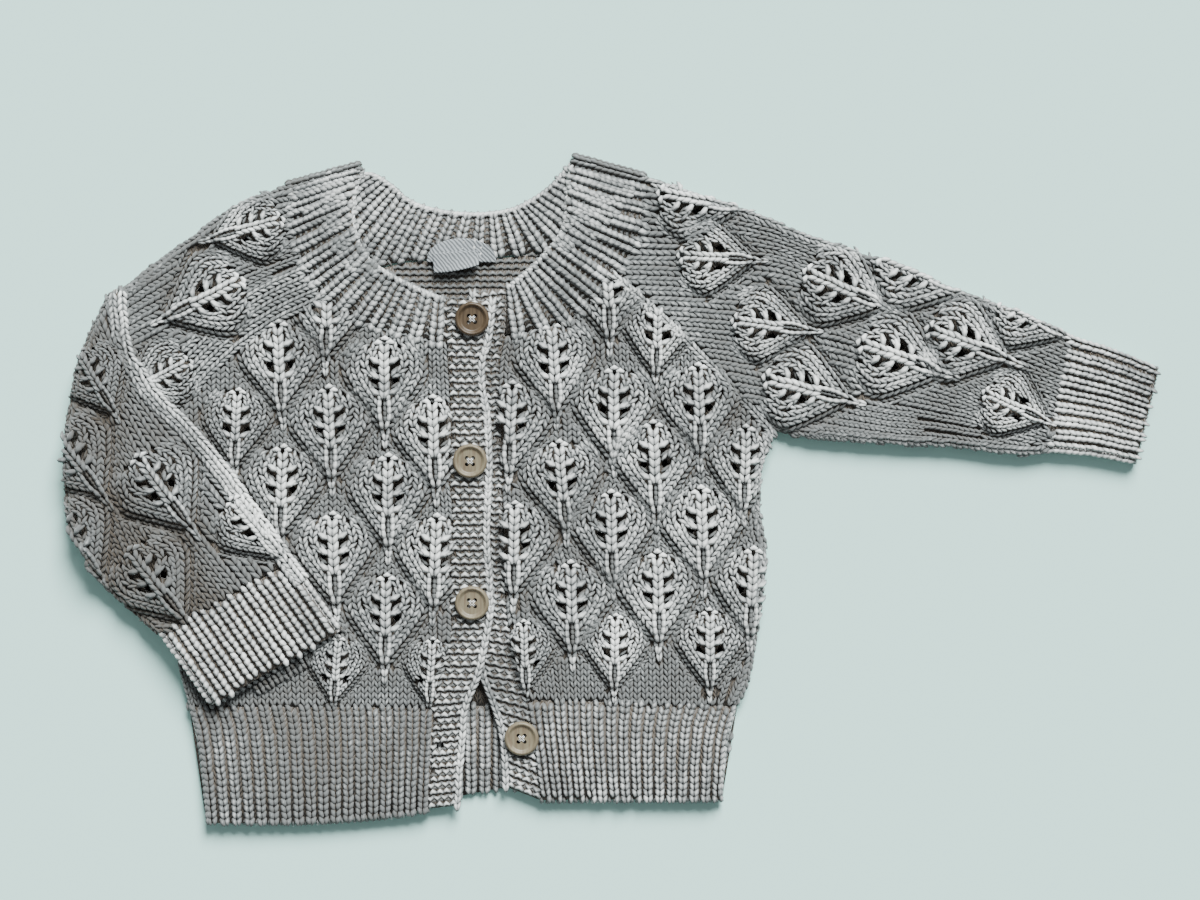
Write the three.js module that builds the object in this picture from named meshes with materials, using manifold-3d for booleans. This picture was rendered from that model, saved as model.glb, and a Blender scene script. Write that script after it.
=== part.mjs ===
// A baby's leaf-lace cardigan, hand-knit style, laid flat with its front up: the left sleeve lies stretched
// out to +X, and the right sleeve is folded over itself and lies across the front.
// Millimetres, +X to the garment's left, +Y towards the neck, +Z up from the surface it lies on.
import * as THREE from "three";
import { mergeGeometries, mergeVertices } from "three/addons/utils/BufferGeometryUtils.js";
import Module from "manifold-3d";

const wasm = await Module();
wasm.setup();

// Driving sizes
const WALL = 2.2; // knitted cloth, flattened
const AIR = 1.4; // between the back and what lies on it
const SEAM = 0.3; // between sewn pieces
const CURVED_SEAM = 0.5; // the same along the neckband and the raglans
const MID = WALL + AIR / 2; // height of a side seam, half way between floor and front
const HALF = MID; // half the thickness of the flat garment
const BAND_WALL = 2.4; // garter stitch is a little thicker
const LAP = 3.2; // how far the buttonhole band is lifted by the button band under it
const RIB_RISE = 0.8;
const RIB_COLUMNS = 3; // grid columns in one rib: a groove point and two crest points
const GARTER_RISE = 0.5;
const COARSE = 2; // the plain inside of a wall has half the grid of its outside
const FLATNESS = 0.05; // triangles flatter than this are merged

const LEAF = {
  rise: 0.9,
  stemHalf: 3,
  stemRise: 1.1,
  eyeletAside: 5.2,
  eyeletDown: 18,
  eyeletWidth: 3.8,
  eyeletLength: 5.4,
  // half width of the blade at places down from its tip
  outline: [
    { down: -2, half: 4 },
    { down: 0, half: 11 },
    { down: 6, half: 16.5 },
    { down: 12, half: 16 },
    { down: 19, half: 10.5 },
    { down: 25, half: 5 },
    { down: 29, half: 0 },
  ],
};

// Every leaf that shows, and each half one beside a seam: its tip and the end of its stem.
const LEAVES = {
  leftFront: [
    { tip: [-24, 80], end: [-21, 31] },
    { tip: [-20.5, 21.5], end: [-16.5, -27.5] },
    { tip: [-14.5, -38.5], end: [-13.5, -89] },
    { tip: [3.5, 117.5], end: [5, 67.5] },
    { tip: [7, 58], end: [6.5, 7] },
    { tip: [5.5, -3.5], end: [6, -54] },
    { tip: [7.5, -64.5], end: [7, -105] },
    { tip: [29, 93.5], end: [27.5, 51] },
    { tip: [26.5, 31], end: [28, -20] },
    { tip: [28.5, -33.5], end: [29.5, -84] },
    { tip: [48.5, 59.5], end: [50, 10] },
    { tip: [50, -1.5], end: [52, -52.5] },
    { tip: [54.5, -62], end: [54.5, -105] },
    { tip: [72.5, 29], end: [71, -17.5] },
    { tip: [76, -31.5], end: [74, -80] },
    { tip: [-43.5, 50.5], end: [-46, 0] },
    { tip: [-42.5, -9], end: [-43, -60] },
    { tip: [-38, -67.5], end: [-36.5, -105] },
  ],
  rightFront: [
    { tip: [-107, 72.5], end: [-107, 22] },
    { tip: [-105, 14.5], end: [-105.5, -36] },
    { tip: [-106, -45], end: [-107, -95] },
    { tip: [-135, 107.5], end: [-136.5, 58] },
    { tip: [-135, 48.5], end: [-133, -2] },
    { tip: [-133, -14.5], end: [-131, -65] },
    { tip: [-130, -75], end: [-133, -111] },
    { tip: [-160, 81], end: [-158, 31] },
    { tip: [-157.5, 19], end: [-159.5, -31] },
    { tip: [-180, 47.5], end: [-182, 5] },
    { tip: [-83, 43.5], end: [-81, -7] },
    { tip: [-81, -15.5], end: [-83, -66] },
    { tip: [-83, -76], end: [-85, -111] },
  ],
  leftSleeve: [
    { tip: [41.5, 116.5], end: [82.5, 114] },
    { tip: [68.5, 84], end: [110, 78.5] },
    { tip: [104, 107.5], end: [147.5, 88.5] },
    { tip: [84, 55], end: [131, 43] },
    { tip: [131, 72.5], end: [177.5, 56] },
    { tip: [165, 79.5], end: [209, 62.5] },
    { tip: [192.5, 47.5], end: [226, 32.5] },
    { tip: [31.5, 147], end: [76, 139] },
    { tip: [140, 116], end: [187.5, 96] },
    { tip: [200, 93.5], end: [236, 74] },
  ],
  rightUpperArm: [
    { tip: [-180, 103.5], end: [-222.5, 82.5] },
    { tip: [-205.5, 63], end: [-240, 45] },
    { tip: [-160, 134], end: [-198.5, 123.5] },
  ],
  rightForearm: [
    { tip: [-227.5, 15], end: [-198.5, -24] },
    { tip: [-231.5, -31], end: [-201.5, -69] },
    { tip: [-181, -6], end: [-154, -37.5] },
    { tip: [-270, 30], end: [-242, -8.5] },
    { tip: [-270, -10], end: [-244, -49] },
    { tip: [-257, 67.5], end: [-238, 34] },
  ],
};

// Large soft folds of the body: middle, way it runs, length, width and height of each ridge or trough.
const FOLDS = [
  { x: 62, y: 42, toX: 0.35, toY: -1, length: 60, width: 9, height: -0.7 },
  { x: 40, y: 30, toX: 0.5, toY: -1, length: 70, width: 11, height: 0.7 },
  { x: 66, y: -60, toX: 0.1, toY: -1, length: 60, width: 9, height: 0.6 },
  { x: -160, y: 60, toX: 0.5, toY: 1, length: 50, width: 9, height: -0.6 },
  { x: -150, y: -80, toX: 1, toY: 0.15, length: 70, width: 9, height: 0.6 },
  { x: 10, y: -92, toX: 1, toY: 0, length: 80, width: 8, height: 0.6 },
];

// Outline of the garment as it lies
const RIGHT_SIDE = [
  [-205, -107.5], [-209.5, -92.5], [-212.5, -75], [-214, -55], [-214.5, -35], [-213, -18], [-212, 0],
  [-214, 14], [-218.5, 27],
];
const LEFT_SIDE = [
  [68.5, -107.5], [74, -95], [77.5, -75], [80.5, -55], [82.5, -35], [81.5, -20], [79, -5], [79.5, 9], [83, 20],
  [87.5, 29],
];
const RIGHT_HEM_SIDE = [[-196.5, -165.5], [-198, -142], [-201, -120], [-205, -107.5]];
const LEFT_HEM_SIDE = [[61, -153.5], [62, -135], [64, -120], [68.5, -107.5]];
const RIGHT_RAGLAN = [
  [-136.5, 94], [-147, 89.5], [-162, 82], [-177.5, 71.5], [-192.5, 57.5], [-206, 42], [-218.5, 27],
];
const LEFT_RAGLAN = [[8, 108], [28, 91], [50, 70], [70, 49], [87.5, 29]];
const RIGHT_BACK_RAGLAN = [[-120, 109], [-155, 80.5], [-188, 53], [-218.5, 27]];
const LEFT_BACK_RAGLAN = [[-7, 124.5], [24, 93.5], [56, 61], [87.5, 29]];

// Edges of the two button bands, from the hem to the neck
const BUTTONHOLE_BAND = {
  seam: [
    [-85, -158.5], [-83.5, -132], [-82.5, -108], [-79, -88], [-73.8, -70], [-74.6, -50], [-73.2, -16], [-74.6, 4],
    [-74, 30], [-75, 54], [-76, 71], [-76.5, 95],
  ],
  free: [
    [-71, -157], [-70, -140], [-68.5, -122], [-67, -108], [-61, -92], [-55.6, -68], [-54.6, -56], [-56.4, -22],
    [-55.4, 8], [-56, 34], [-59.2, 58], [-55, 78], [-53.5, 94],
  ],
};
const BUTTON_BAND = {
  free: [
    [-47, -147.5], [-47.6, -130], [-50, -115], [-56.6, -97], [-61, -80], [-64.4, -55], [-65.6, 20], [-67, 60],
    [-64.5, 82], [-63.4, 98],
  ],
  seam: [
    [-30, -154.2], [-33.6, -126], [-37, -101.5], [-40.5, -88], [-46.6, -60], [-48.4, 0], [-49.6, 40], [-49.8, 62],
    [-47.6, 77], [-46.6, 100.5],
  ],
};
const HEM_TOP = { right: -108, left: -104 }; // on the two button bands

// Neckband, from the buttonhole band over the right shoulder, round the back, to the button band.
// turn is 0 where its outside faces up and 180 where it faces down.
const NECKBAND = [
  { in: [-76.9, 95], out: [-76.5, 72], turn: 0 },
  { in: [-86.5, 98.5], out: [-93, 76.5], turn: 0 },
  { in: [-102, 106], out: [-117, 83], turn: 0 },
  { in: [-114.5, 114], out: [-136.5, 94], turn: 0, corner: "rightFront" },
  { in: [-121, 124.5], out: [-146, 108.5], turn: 0 },
  { in: [-123.5, 137.5], out: [-151.5, 124], turn: 0 },
  { in: [-122, 150], out: [-153.5, 139], turn: 0 },
  { in: [-119, 158.5], out: [-153, 149], turn: 0, corner: "rightFold" },
  { in: [-119, 158.5], out: [-153, 149], turn: 60 },
  { in: [-119, 158.5], out: [-153, 149], turn: 120 },
  { in: [-118.5, 158.5], out: [-152.5, 149], turn: 180, corner: "rightUnder" },
  { in: [-112, 157], out: [-144.5, 138], turn: 180 },
  { in: [-103.5, 151.5], out: [-131.5, 122], turn: 180 },
  { in: [-96, 145], out: [-120, 109.5], turn: 180, corner: "rightBack" },
  { in: [-86, 140.8], out: [-100, 113.6], turn: 180 },
  { in: [-71.5, 138.2], out: [-80, 115.2], turn: 180 },
  { in: [-56.5, 138], out: [-56, 115.8], turn: 180 },
  { in: [-44, 140.2], out: [-32, 118.4], turn: 180 },
  { in: [-34, 145], out: [-7, 125], turn: 180, corner: "leftBack" },
  { in: [-25, 151.5], out: [4, 136], turn: 180 },
  { in: [-19, 158], out: [13, 147], turn: 180 },
  { in: [-14.5, 162.5], out: [18.5, 153.5], turn: 180, corner: "leftUnder" },
  { in: [-14, 162.5], out: [19, 153.5], turn: 120 },
  { in: [-14, 162.5], out: [19, 153.5], turn: 60 },
  { in: [-14, 162.5], out: [19, 153.5], turn: 0, corner: "leftFold" },
  { in: [-15.5, 153], out: [21.4, 144], turn: 0 },
  { in: [-16.6, 143], out: [20.6, 131.5], turn: 0 },
  { in: [-17, 134.5], out: [16, 119.5], turn: 0 },
  { in: [-20.5, 126], out: [8, 108], turn: 0, corner: "leftFront" },
  { in: [-27.5, 117.5], out: [-1, 96], turn: 0 },
  { in: [-35.5, 109.8], out: [-14, 86], turn: 0 },
  { in: [-42, 104.4], out: [-31, 79.8], turn: 0 },
  { in: [-46.2, 101], out: [-47.2, 77], turn: 0 },
];
const NECKBAND_RIBS = 56;

// Sleeves. upper is the fold along the top of the arm, underarm the fold below it.
const LEFT_SLEEVE = {
  upper: [
    [20.2, 156.2], [50, 147], [80, 137], [100, 128.5], [125, 119.5], [150, 112], [175, 101], [200, 92], [222, 83],
    [234, 77.5],
  ],
  upperAtArmpit: 0.41,
  underarm: [
    [88.4, 28.4], [108, 26], [130, 24.2], [152, 22.6], [173, 22], [190, 20], [207, 17.4], [222.5, 18.6],
  ],
  cuff: {
    upper: [[234.4, 77.4], [256, 70.4], [278, 61.6]],
    under: [[222.9, 18.6], [245, 17], [266.5, 13]],
  },
};
const RIGHT_SLEEVE = {
  upper: [
    [-154, 151.7], [-175, 145], [-188, 138], [-200, 128.5], [-215, 117.5], [-229, 107.5], [-236, 100],
  ],
  upperAtArmpit: 0.78,
  underarm: [[-219.4, 26.4], [-230, 14], [-244, -6], [-256, -26]],
  creaseBow: 12,
  forearmUpper: [
    [-236.2, 98.5], [-236.5, 80], [-228, 61], [-215, 44.5], [-200, 30.5], [-180, 5.5], [-164, -16.5], [-152, -34.5],
  ],
  forearmUnder: [
    [-256.6, -27], [-253.5, -39], [-246, -48], [-237.5, -55], [-231, -61], [-225, -66.5], [-219, -71.5],
  ],
  cuff: {
    upper: [[-151.7, -34.9], [-140, -52], [-127.5, -69]],
    under: [[-218.7, -71.9], [-206.5, -89], [-193.5, -107]],
  },
};
const SLEEVE_HALF = 3.3; // half the thickness of a lofty arm
const FOREARM_HEIGHT = 9.6; // of the middle of the folded forearm where it lies on the front
const FOREARM_SAG = 3; // how far it hangs where nothing lies under it
const SIDE_ROWS = 16; // grid rows of a body panel below the armpit
const RAGLAN_ROWS = 10; // and along the raglan, the same on the sleeves so that the seams match
const FLAT_COLUMNS = 12;
const CUFF_FLAT_COLUMNS = 28;

const BUTTON = { radius: 8.5, thickness: 3.4, rim: 1.5, dish: 1.3, holeRadius: 0.95, holeAside: 1.5 };
const BUTTONS = [
  { name: "button_1", x: -63.5, y: 85 },
  { name: "button_2", x: -64.5, y: 14.5 },
  { name: "button_3", x: -63.5, y: -56 },
  { name: "button_4", x: -39, y: -123.5 },
];
const OPEN_BUTTONHOLE = { x: -80, y: -127.5, width: 4.6, length: 5.6 };

const COLOURS = { wool: 0xc9c2b6, button: 0xc0a178, label: 0xe9e7e2 };

// Small tools

const clamp = (x, low = 0, high = 1) => Math.min(high, Math.max(low, x));
const smooth = (x, from, to) => {
  const t = clamp((x - from) / (to - from));
  return t * t * (3 - 2 * t);
};
const vector = ([x, y], z = 0) => new THREE.Vector3(x, y, z);
const mix = (a, b, t) => new THREE.Vector3().lerpVectors(a, b, t);
const sum = (a, b, share = 1) => a.clone().addScaledVector(b, share);

function curve(points) {
  const path = new THREE.CatmullRomCurve3(points.map((p) => vector(p)), false, "centripetal");
  path.arcLengthDivisions = 400;
  return (t) => path.getPointAt(clamp(t));
}

// One curve after another, the first taking the given share.
const joined = (first, second, share) => (t) =>
  t < share ? first(t / share) : second((t - share) / (1 - share));
const reversed = (path) => (t) => path(1 - t);

// A patch between four edges that meet at its corners.
function patch({ bottom, top, left, right }) {
  return (u, v) => {
    const across = mix(left(v), right(v), u);
    const up = mix(bottom(u), top(u), v);
    const corners = mix(mix(bottom(0), bottom(1), u), mix(top(0), top(1), u), v);
    return across.add(up).sub(corners);
  };
}

// A closed wall between an outer and an inner grid. The inner one has every step-th point of the outer.
// From row closedFrom on, the first and last columns meet and the wall is a tube.
function wall({ columns, rows, outer, inner, closedFrom = rows, step = COARSE, flip = false }) {
  const corners = [];
  const face = (a, b, c) => corners.push(...(flip ? [a, c, b] : [a, b, c]));
  const grid = (n, m, at, size, turned) => {
    for (let i = 0; i < n; i += size) {
      for (let j = 0; j < m; j += size) {
        const [a, b, c, d] = [at(i, j), at(i + size, j), at(i + size, j + size), at(i, j + size)];
        face(a, ...(turned ? [c, b] : [b, c]));
        face(a, ...(turned ? [d, c] : [c, d]));
      }
    }
  };
  const rim = (count, at, atInner) => {
    for (let k = 0; k < count; k += step) {
      for (let n = k; n < k + step; n++) face(at(n + 1), at(n), atInner(k));
      face(at(k + step), atInner(k), atInner(k + step));
    }
  };
  grid(columns, rows, outer, 1, false);
  grid(columns, rows, inner, step, true);
  rim(columns, (n) => outer(n, 0), (n) => inner(n, 0));
  rim(columns, (n) => outer(columns - n, rows), (n) => inner(columns - n, rows));
  rim(closedFrom, (n) => outer(columns, n), (n) => inner(columns, n));
  rim(closedFrom, (n) => outer(0, closedFrom - n), (n) => inner(0, closedFrom - n));
  const geometry = new THREE.BufferGeometry().setFromPoints(corners);
  return mergeVertices(geometry, 1e-4);
}

function solidOf(geometry) {
  const bare = new THREE.BufferGeometry();
  const source = geometry.index ? geometry : mergeVertices(geometry);
  bare.setAttribute("position", source.getAttribute("position"));
  bare.setIndex(source.index);
  const merged = mergeVertices(bare, 1e-4);
  return new wasm.Manifold(
    new wasm.Mesh({
      numProp: 3,
      vertProperties: new Float32Array(merged.attributes.position.array),
      triVerts: new Uint32Array(merged.index.array),
    }),
  );
}

function geometryOf(solid) {
  const mesh = solid.getMesh();
  const geometry = new THREE.BufferGeometry();
  geometry.setAttribute("position", new THREE.BufferAttribute(mesh.vertProperties, 3));
  geometry.setIndex(new THREE.BufferAttribute(mesh.triVerts, 1));
  return geometry;
}

// The geometry with a prism cut through it at each hole: {x, y, low, high, angle, width, length}.
function punched(geometry, holes, sides = 4) {
  const cutters = holes.map(({ x, y, low, high, angle, width, length }) =>
    new THREE.CylinderGeometry(1, 1, high - low, sides)
      .rotateX(Math.PI / 2)
      .scale(width / 2, length / 2, 1)
      .rotateZ(angle)
      .translate(x, y, (low + high) / 2)
      .deleteAttribute("normal")
      .deleteAttribute("uv"),
  );
  return geometryOf(solidOf(geometry).subtract(solidOf(mergeGeometries(cutters))));
}

// How deep a place lies inside an outline, less than nothing outside it.
function depthIn(outline, x, y) {
  let inside = false;
  let nearest = Infinity;
  const here = new THREE.Vector3(x, y, 0);
  outline.forEach((a, i) => {
    const b = outline[(i + 1) % outline.length];
    if (a.y > y !== b.y > y && x < ((b.x - a.x) * (y - a.y)) / (b.y - a.y) + a.x) inside = !inside;
    const closest = new THREE.Line3(a, b).closestPointToPoint(here, true, new THREE.Vector3());
    nearest = Math.min(nearest, closest.distanceTo(here));
  });
  return inside ? nearest : -nearest;
}

// Leaf lace

const leafHalf = (down) => {
  const rows = LEAF.outline;
  const k = rows.findIndex((row) => row.down > down);
  if (k < 1) return 0;
  const [a, b] = [rows[k - 1], rows[k]];
  return THREE.MathUtils.mapLinear(down, a.down, b.down, a.half, b.half);
};

// A place in a leaf's own measures: how far down from its tip towards the stem, and how far aside.
function inLeaf({ tip, end }, x, y) {
  const stem = new THREE.Vector2(end[0] - tip[0], end[1] - tip[1]);
  const reach = stem.length();
  stem.normalize();
  const [dx, dy] = [x - tip[0], y - tip[1]];
  return { down: dx * stem.x + dy * stem.y, aside: dx * -stem.y + dy * stem.x, reach, stem };
}

function leafRelief(leaves, x, y) {
  let rise = 0;
  for (const leaf of leaves) {
    const { down, aside: across, reach } = inLeaf(leaf, x, y);
    const [half, off] = [leafHalf(down), Math.abs(across)];
    if (off < half) rise = Math.max(rise, LEAF.rise * Math.sqrt(1 - (off / half) ** 2));
    if (off < LEAF.stemHalf && down > 0 && down < reach) rise = Math.max(rise, LEAF.stemRise);
  }
  return rise;
}

// The two largest eyelets of each leaf, where they lie well inside an outline.
function eyelets(leaves, outline, margin) {
  const found = leaves.flatMap((leaf) => {
    const { stem } = inLeaf(leaf, 0, 0);
    return [-1, 1].map((side) => ({
      x: leaf.tip[0] + LEAF.eyeletDown * stem.x - side * LEAF.eyeletAside * stem.y,
      y: leaf.tip[1] + LEAF.eyeletDown * stem.y + side * LEAF.eyeletAside * stem.x,
      angle: Math.atan2(stem.y, stem.x) - Math.PI / 2,
      width: LEAF.eyeletWidth,
      length: LEAF.eyeletLength,
    }));
  });
  return found.filter(({ x, y }) => depthIn(outline, x, y) > margin);
}

// Heights of the cloth over the floor

function foldRise(x, y) {
  return FOLDS.reduce((rise, fold) => {
    const size = Math.hypot(fold.toX, fold.toY);
    const along = ((x - fold.x) * fold.toX + (y - fold.y) * fold.toY) / size;
    const across = ((x - fold.x) * fold.toY - (y - fold.y) * fold.toX) / size;
    const ends = 1 - smooth(Math.abs(along), fold.length * 0.2, fold.length * 0.5);
    return rise + fold.height * ends * Math.exp(-((across / fold.width) ** 2));
  }, 0);
}

// The right front climbs onto the button band, and comes down again where the bands part above the hem.
const lapRise = (x, y) =>
  LAP * smooth(x, -112, -82) * (1 - smooth(x, -50, -46)) * smooth(y, -128, -94);

const leftFrontUnder = (x, y) => MID + AIR / 2 + foldRise(x, y) * smooth(x, -44, -20);
const rightFrontUnder = (x, y) =>
  MID + AIR / 2 + foldRise(x, y) * (1 - smooth(x, -110, -90)) + lapRise(x, y);

// A panel of the body. It rolls down to the side seam along its rolled edges, as far up as the armpit.
function panel({ edges, columns, rows, upper, under, rollLeft = 0, rollRight = 0, armpit = 2, isBack = false }) {
  const at = patch(edges);
  const gap = isBack ? -SEAM / 2 : SEAM / 2;
  const rollSteps = [0, 0.12, 0.45, 1];
  const fractions = (width) => {
    const left = rollLeft ? rollSteps.map((s) => (s * HALF) / width) : [0];
    const right = rollRight ? rollSteps.map((s) => 1 - (s * HALF) / width).reverse() : [1];
    const middle = columns - left.length - right.length + 2;
    const [from, to] = [left[left.length - 1], right[0]];
    const between = Array.from({ length: middle - 1 }, (_, k) => from + ((to - from) * (k + 1)) / middle);
    return [...left, ...between, ...right];
  };
  const build = (i, j, isUpper) => {
    const v = j / rows;
    const width = edges.left(v).distanceTo(edges.right(v));
    const u = fractions(width)[i];
    const place = at(u, v);
    const share = 1 - smooth(v, armpit - 0.1, armpit);
    const height = (isUpper ? upper : under)(place.x, place.y, i, j);
    const fromLeft = rollLeft ? u * width : Infinity;
    const fromRight = rollRight ? (1 - u) * width : Infinity;
    const near = clamp(Math.min(fromLeft, fromRight) / HALF);
    const level = 1 - share + share * Math.sqrt(1 - (1 - near) ** 2);
    const inward = isUpper === isBack ? WALL * share * (1 - near) : 0;
    const way = new THREE.Vector3().subVectors(edges.right(v), edges.left(v)).normalize();
    place.addScaledVector(way, fromLeft < fromRight ? inward : -inward);
    place.z = MID + gap + (height - MID - gap) * level;
    return place;
  };
  return wall({
    columns,
    rows,
    outer: (i, j) => build(i, j, true),
    inner: (i, j) => build(i, j, false),
  });
}

const outlineOf = (edges, count = 40) =>
  [edges.bottom, edges.right, reversed(edges.top), reversed(edges.left)].flatMap((edge) =>
    Array.from({ length: count }, (_, k) => edge(k / count)),
  );

const lowered = (edge, by) => (t) => sum(edge(t), new THREE.Vector3(0, -by, 0));
const aside = (edge, by) => (t) => sum(edge(t), new THREE.Vector3(by, 0, 0));
const part = (edge, from, to) => (t) => edge(from + (to - from) * t);
const line = (a, b) => (t) => mix(a, b, t);

// The share of a band's edge that lies below a height.
function shareBelow(edge, y) {
  const steps = 2000;
  for (let k = 0; k <= steps; k++) if (edge(k / steps).y >= y) return k / steps;
  return 1;
}

// Neckband

const neckIn = NECKBAND.map((row) => vector(row.in));
const neckOut = NECKBAND.map((row) => vector(row.out));
const neckTurn = NECKBAND.map((row) => vector([row.turn, 0]));
const cornerAt = (name) => NECKBAND.findIndex((row) => row.corner === name);
const through = (points) => {
  const path = new THREE.CatmullRomCurve3(points, false, "catmullrom", 0.5);
  return (index) => path.getPoint(clamp(index / (points.length - 1)));
};
const neckInAt = through(neckIn);
const neckOutAt = through(neckOut);
const neckTurnAt = (index) => {
  const k = Math.min(Math.floor(index), neckTurn.length - 2);
  return mix(neckTurn[k], neckTurn[k + 1], index - k).x;
};
// A stretch of the neckband's outer edge between two corners, as an edge of a panel.
const neckEdge = (from, to) => (t) => neckOutAt(cornerAt(from) + (cornerAt(to) - cornerAt(from)) * t);

function neckband() {
  const columns = NECKBAND_RIBS * RIB_COLUMNS;
  const rows = COARSE;
  const radius = (WALL + AIR) / 2;
  // Equal steps along the middle of the band, turns included
  const samples = 1500;
  const middles = Array.from({ length: samples + 1 }, (_, k) => {
    const index = (k / samples) * (NECKBAND.length - 1);
    return { index, at: mix(neckInAt(index), neckOutAt(index), 0.5), turn: neckTurnAt(index) };
  });
  const lengths = [0];
  middles.slice(1).forEach((m, k) => {
    const bend = THREE.MathUtils.degToRad(Math.abs(m.turn - middles[k].turn)) * radius;
    lengths.push(lengths[k] + Math.hypot(m.at.distanceTo(middles[k].at), bend));
  });
  const indexAt = (share) => {
    const goal = share * lengths[samples];
    const k = clamp(lengths.findIndex((l) => l >= goal), 1, samples);
    const t = (goal - lengths[k - 1]) / Math.max(lengths[k] - lengths[k - 1], 1e-9);
    return THREE.MathUtils.lerp(middles[k - 1].index, middles[k].index, clamp(t));
  };
  const indices = Array.from({ length: columns + 1 }, (_, i) => indexAt(i / columns));
  const build = (i, j, isOuter) => {
    const index = indices[i];
    const turn = THREE.MathUtils.degToRad(neckTurnAt(index));
    const [inside, outside] = [neckInAt(index), neckOutAt(index)];
    const along = new THREE.Vector3().subVectors(outside, inside).normalize();
    const isRight = index < NECKBAND.length / 2;
    const up = new THREE.Vector3(isRight ? along.y : -along.y, isRight ? -along.x : along.x, 0);
    const normal = new THREE.Vector3(0, 0, Math.cos(turn)).addScaledVector(up, Math.sin(turn));
    const crest = i % RIB_COLUMNS ? RIB_RISE : 0;
    const facesUp = clamp(Math.cos(turn) * 2 + 1);
    const rise = isOuter ? WALL / 2 + crest * facesUp : -WALL / 2;
    const place = mix(inside, sum(outside, along, -CURVED_SEAM), j / rows);
    place.z = MID;
    const lift = Math.cos(turn) > 0 && isRight ? lapRise(place.x, place.y) : 0;
    return place.addScaledVector(normal, radius + rise).setZ(place.z + lift);
  };
  return wall({
    columns,
    rows,
    outer: (i, j) => build(i, j, true),
    inner: (i, j) => build(i, j, false),
  });
}

// Sleeves and cuffs: rows of flattened rings between the fold over the arm and the fold under it

const isFlat = (column) => Math.abs(Math.sin(column.angle)) > 0.99;

// Columns of a ring: how far across between the two folds' centres, and the angle round a fold. A sleeve is
// two layers that nearly meet along the middle of both folds, and a cuff is a whole ring.
function layerColumns(flat, isUnder) {
  const quarter = Math.PI / 2;
  const turn = (quarter - (1.2 * SEAM) / HALF) / 2;
  const columns = [
    ...[2, 1].map((n) => ({ across: 0, angle: quarter + n * turn })),
    ...Array.from({ length: flat + 1 }, (_, k) => ({ across: k / flat, angle: quarter })),
    ...[1, 2].map((n) => ({ across: 1, angle: quarter - n * turn })),
  ];
  return isUnder ? columns.reverse().map(({ across, angle }) => ({ across, angle: -angle })) : columns;
}

function ringColumns(flat) {
  const quarter = Math.PI / 2;
  const from = (count, make) => Array.from({ length: count }, (_, k) => make(k / count));
  return [
    ...from(2, (t) => ({ across: 0, angle: Math.PI - quarter * t })),
    ...from(flat, (t) => ({ across: t, angle: quarter })),
    ...from(4, (t) => ({ across: 1, angle: quarter - Math.PI * t })),
    ...from(flat, (t) => ({ across: 1 - t, angle: -quarter })),
    ...from(3, (t) => ({ across: 0, angle: -quarter - quarter * t * 1.5 })),
  ];
}

// One row: a over the arm, b under it, back the seam of the under layer, half the half thickness.
function ringPoint(row, column, isInner, relief) {
  const isBottom = column.angle < 0;
  const foot = isBottom && row.back ? row.back : row.b;
  const way = new THREE.Vector3().subVectors(row.a, foot);
  const width = way.length();
  way.normalize();
  const radius = row.half;
  const thin = isInner ? WALL : 0;
  const [cos, sin] = [Math.cos(column.angle), Math.sin(column.angle)];
  let span = radius + column.across * (width - 2 * radius) + (radius - thin) * cos;
  let rise = (row.half - thin) * sin;
  if (column.across === 0) {
    const open = 1 - row.closed;
    span -= open * (isInner ? WALL * -cos : 0);
    rise = Math.sign(sin || (isBottom ? -1 : 1)) * (row.half - thin) * (open + row.closed * Math.abs(sin));
  }
  const out = new THREE.Vector3(-way.y * row.side, way.x * row.side, 0).normalize();
  const turn = THREE.MathUtils.degToRad(row.turn);
  const normal = new THREE.Vector3(0, 0, Math.cos(turn)).addScaledVector(out, -Math.sin(turn));
  const share = clamp(span / width);
  const place = sum(foot, way, span).addScaledVector(out, row.bow * 4 * share * (1 - share));
  if (row.neck) row.neck(place, way, span, width - radius, isBottom);
  if (row.drapes) place.z -= forearmDrop(place.x, place.y);
  if (!isInner && relief) rise += Math.sign(rise) * relief(place, column);
  return place.addScaledVector(normal, rise);
}

// The cloth through rows of ring points: one layer of a sleeve, or a whole cuff where isClosed.
function sleeveWall({ rows, columns, isClosed, relief, flip }) {
  return wall({
    columns: columns.length - 1,
    rows: rows.length - 1,
    outer: (i, j) => ringPoint(rows[j], columns[i], false, relief && ((p, column) => relief(p, column, j, i))),
    inner: (i, j) => ringPoint(rows[j], columns[i], true),
    closedFrom: isClosed ? 0 : undefined,
    flip,
  });
}

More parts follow.
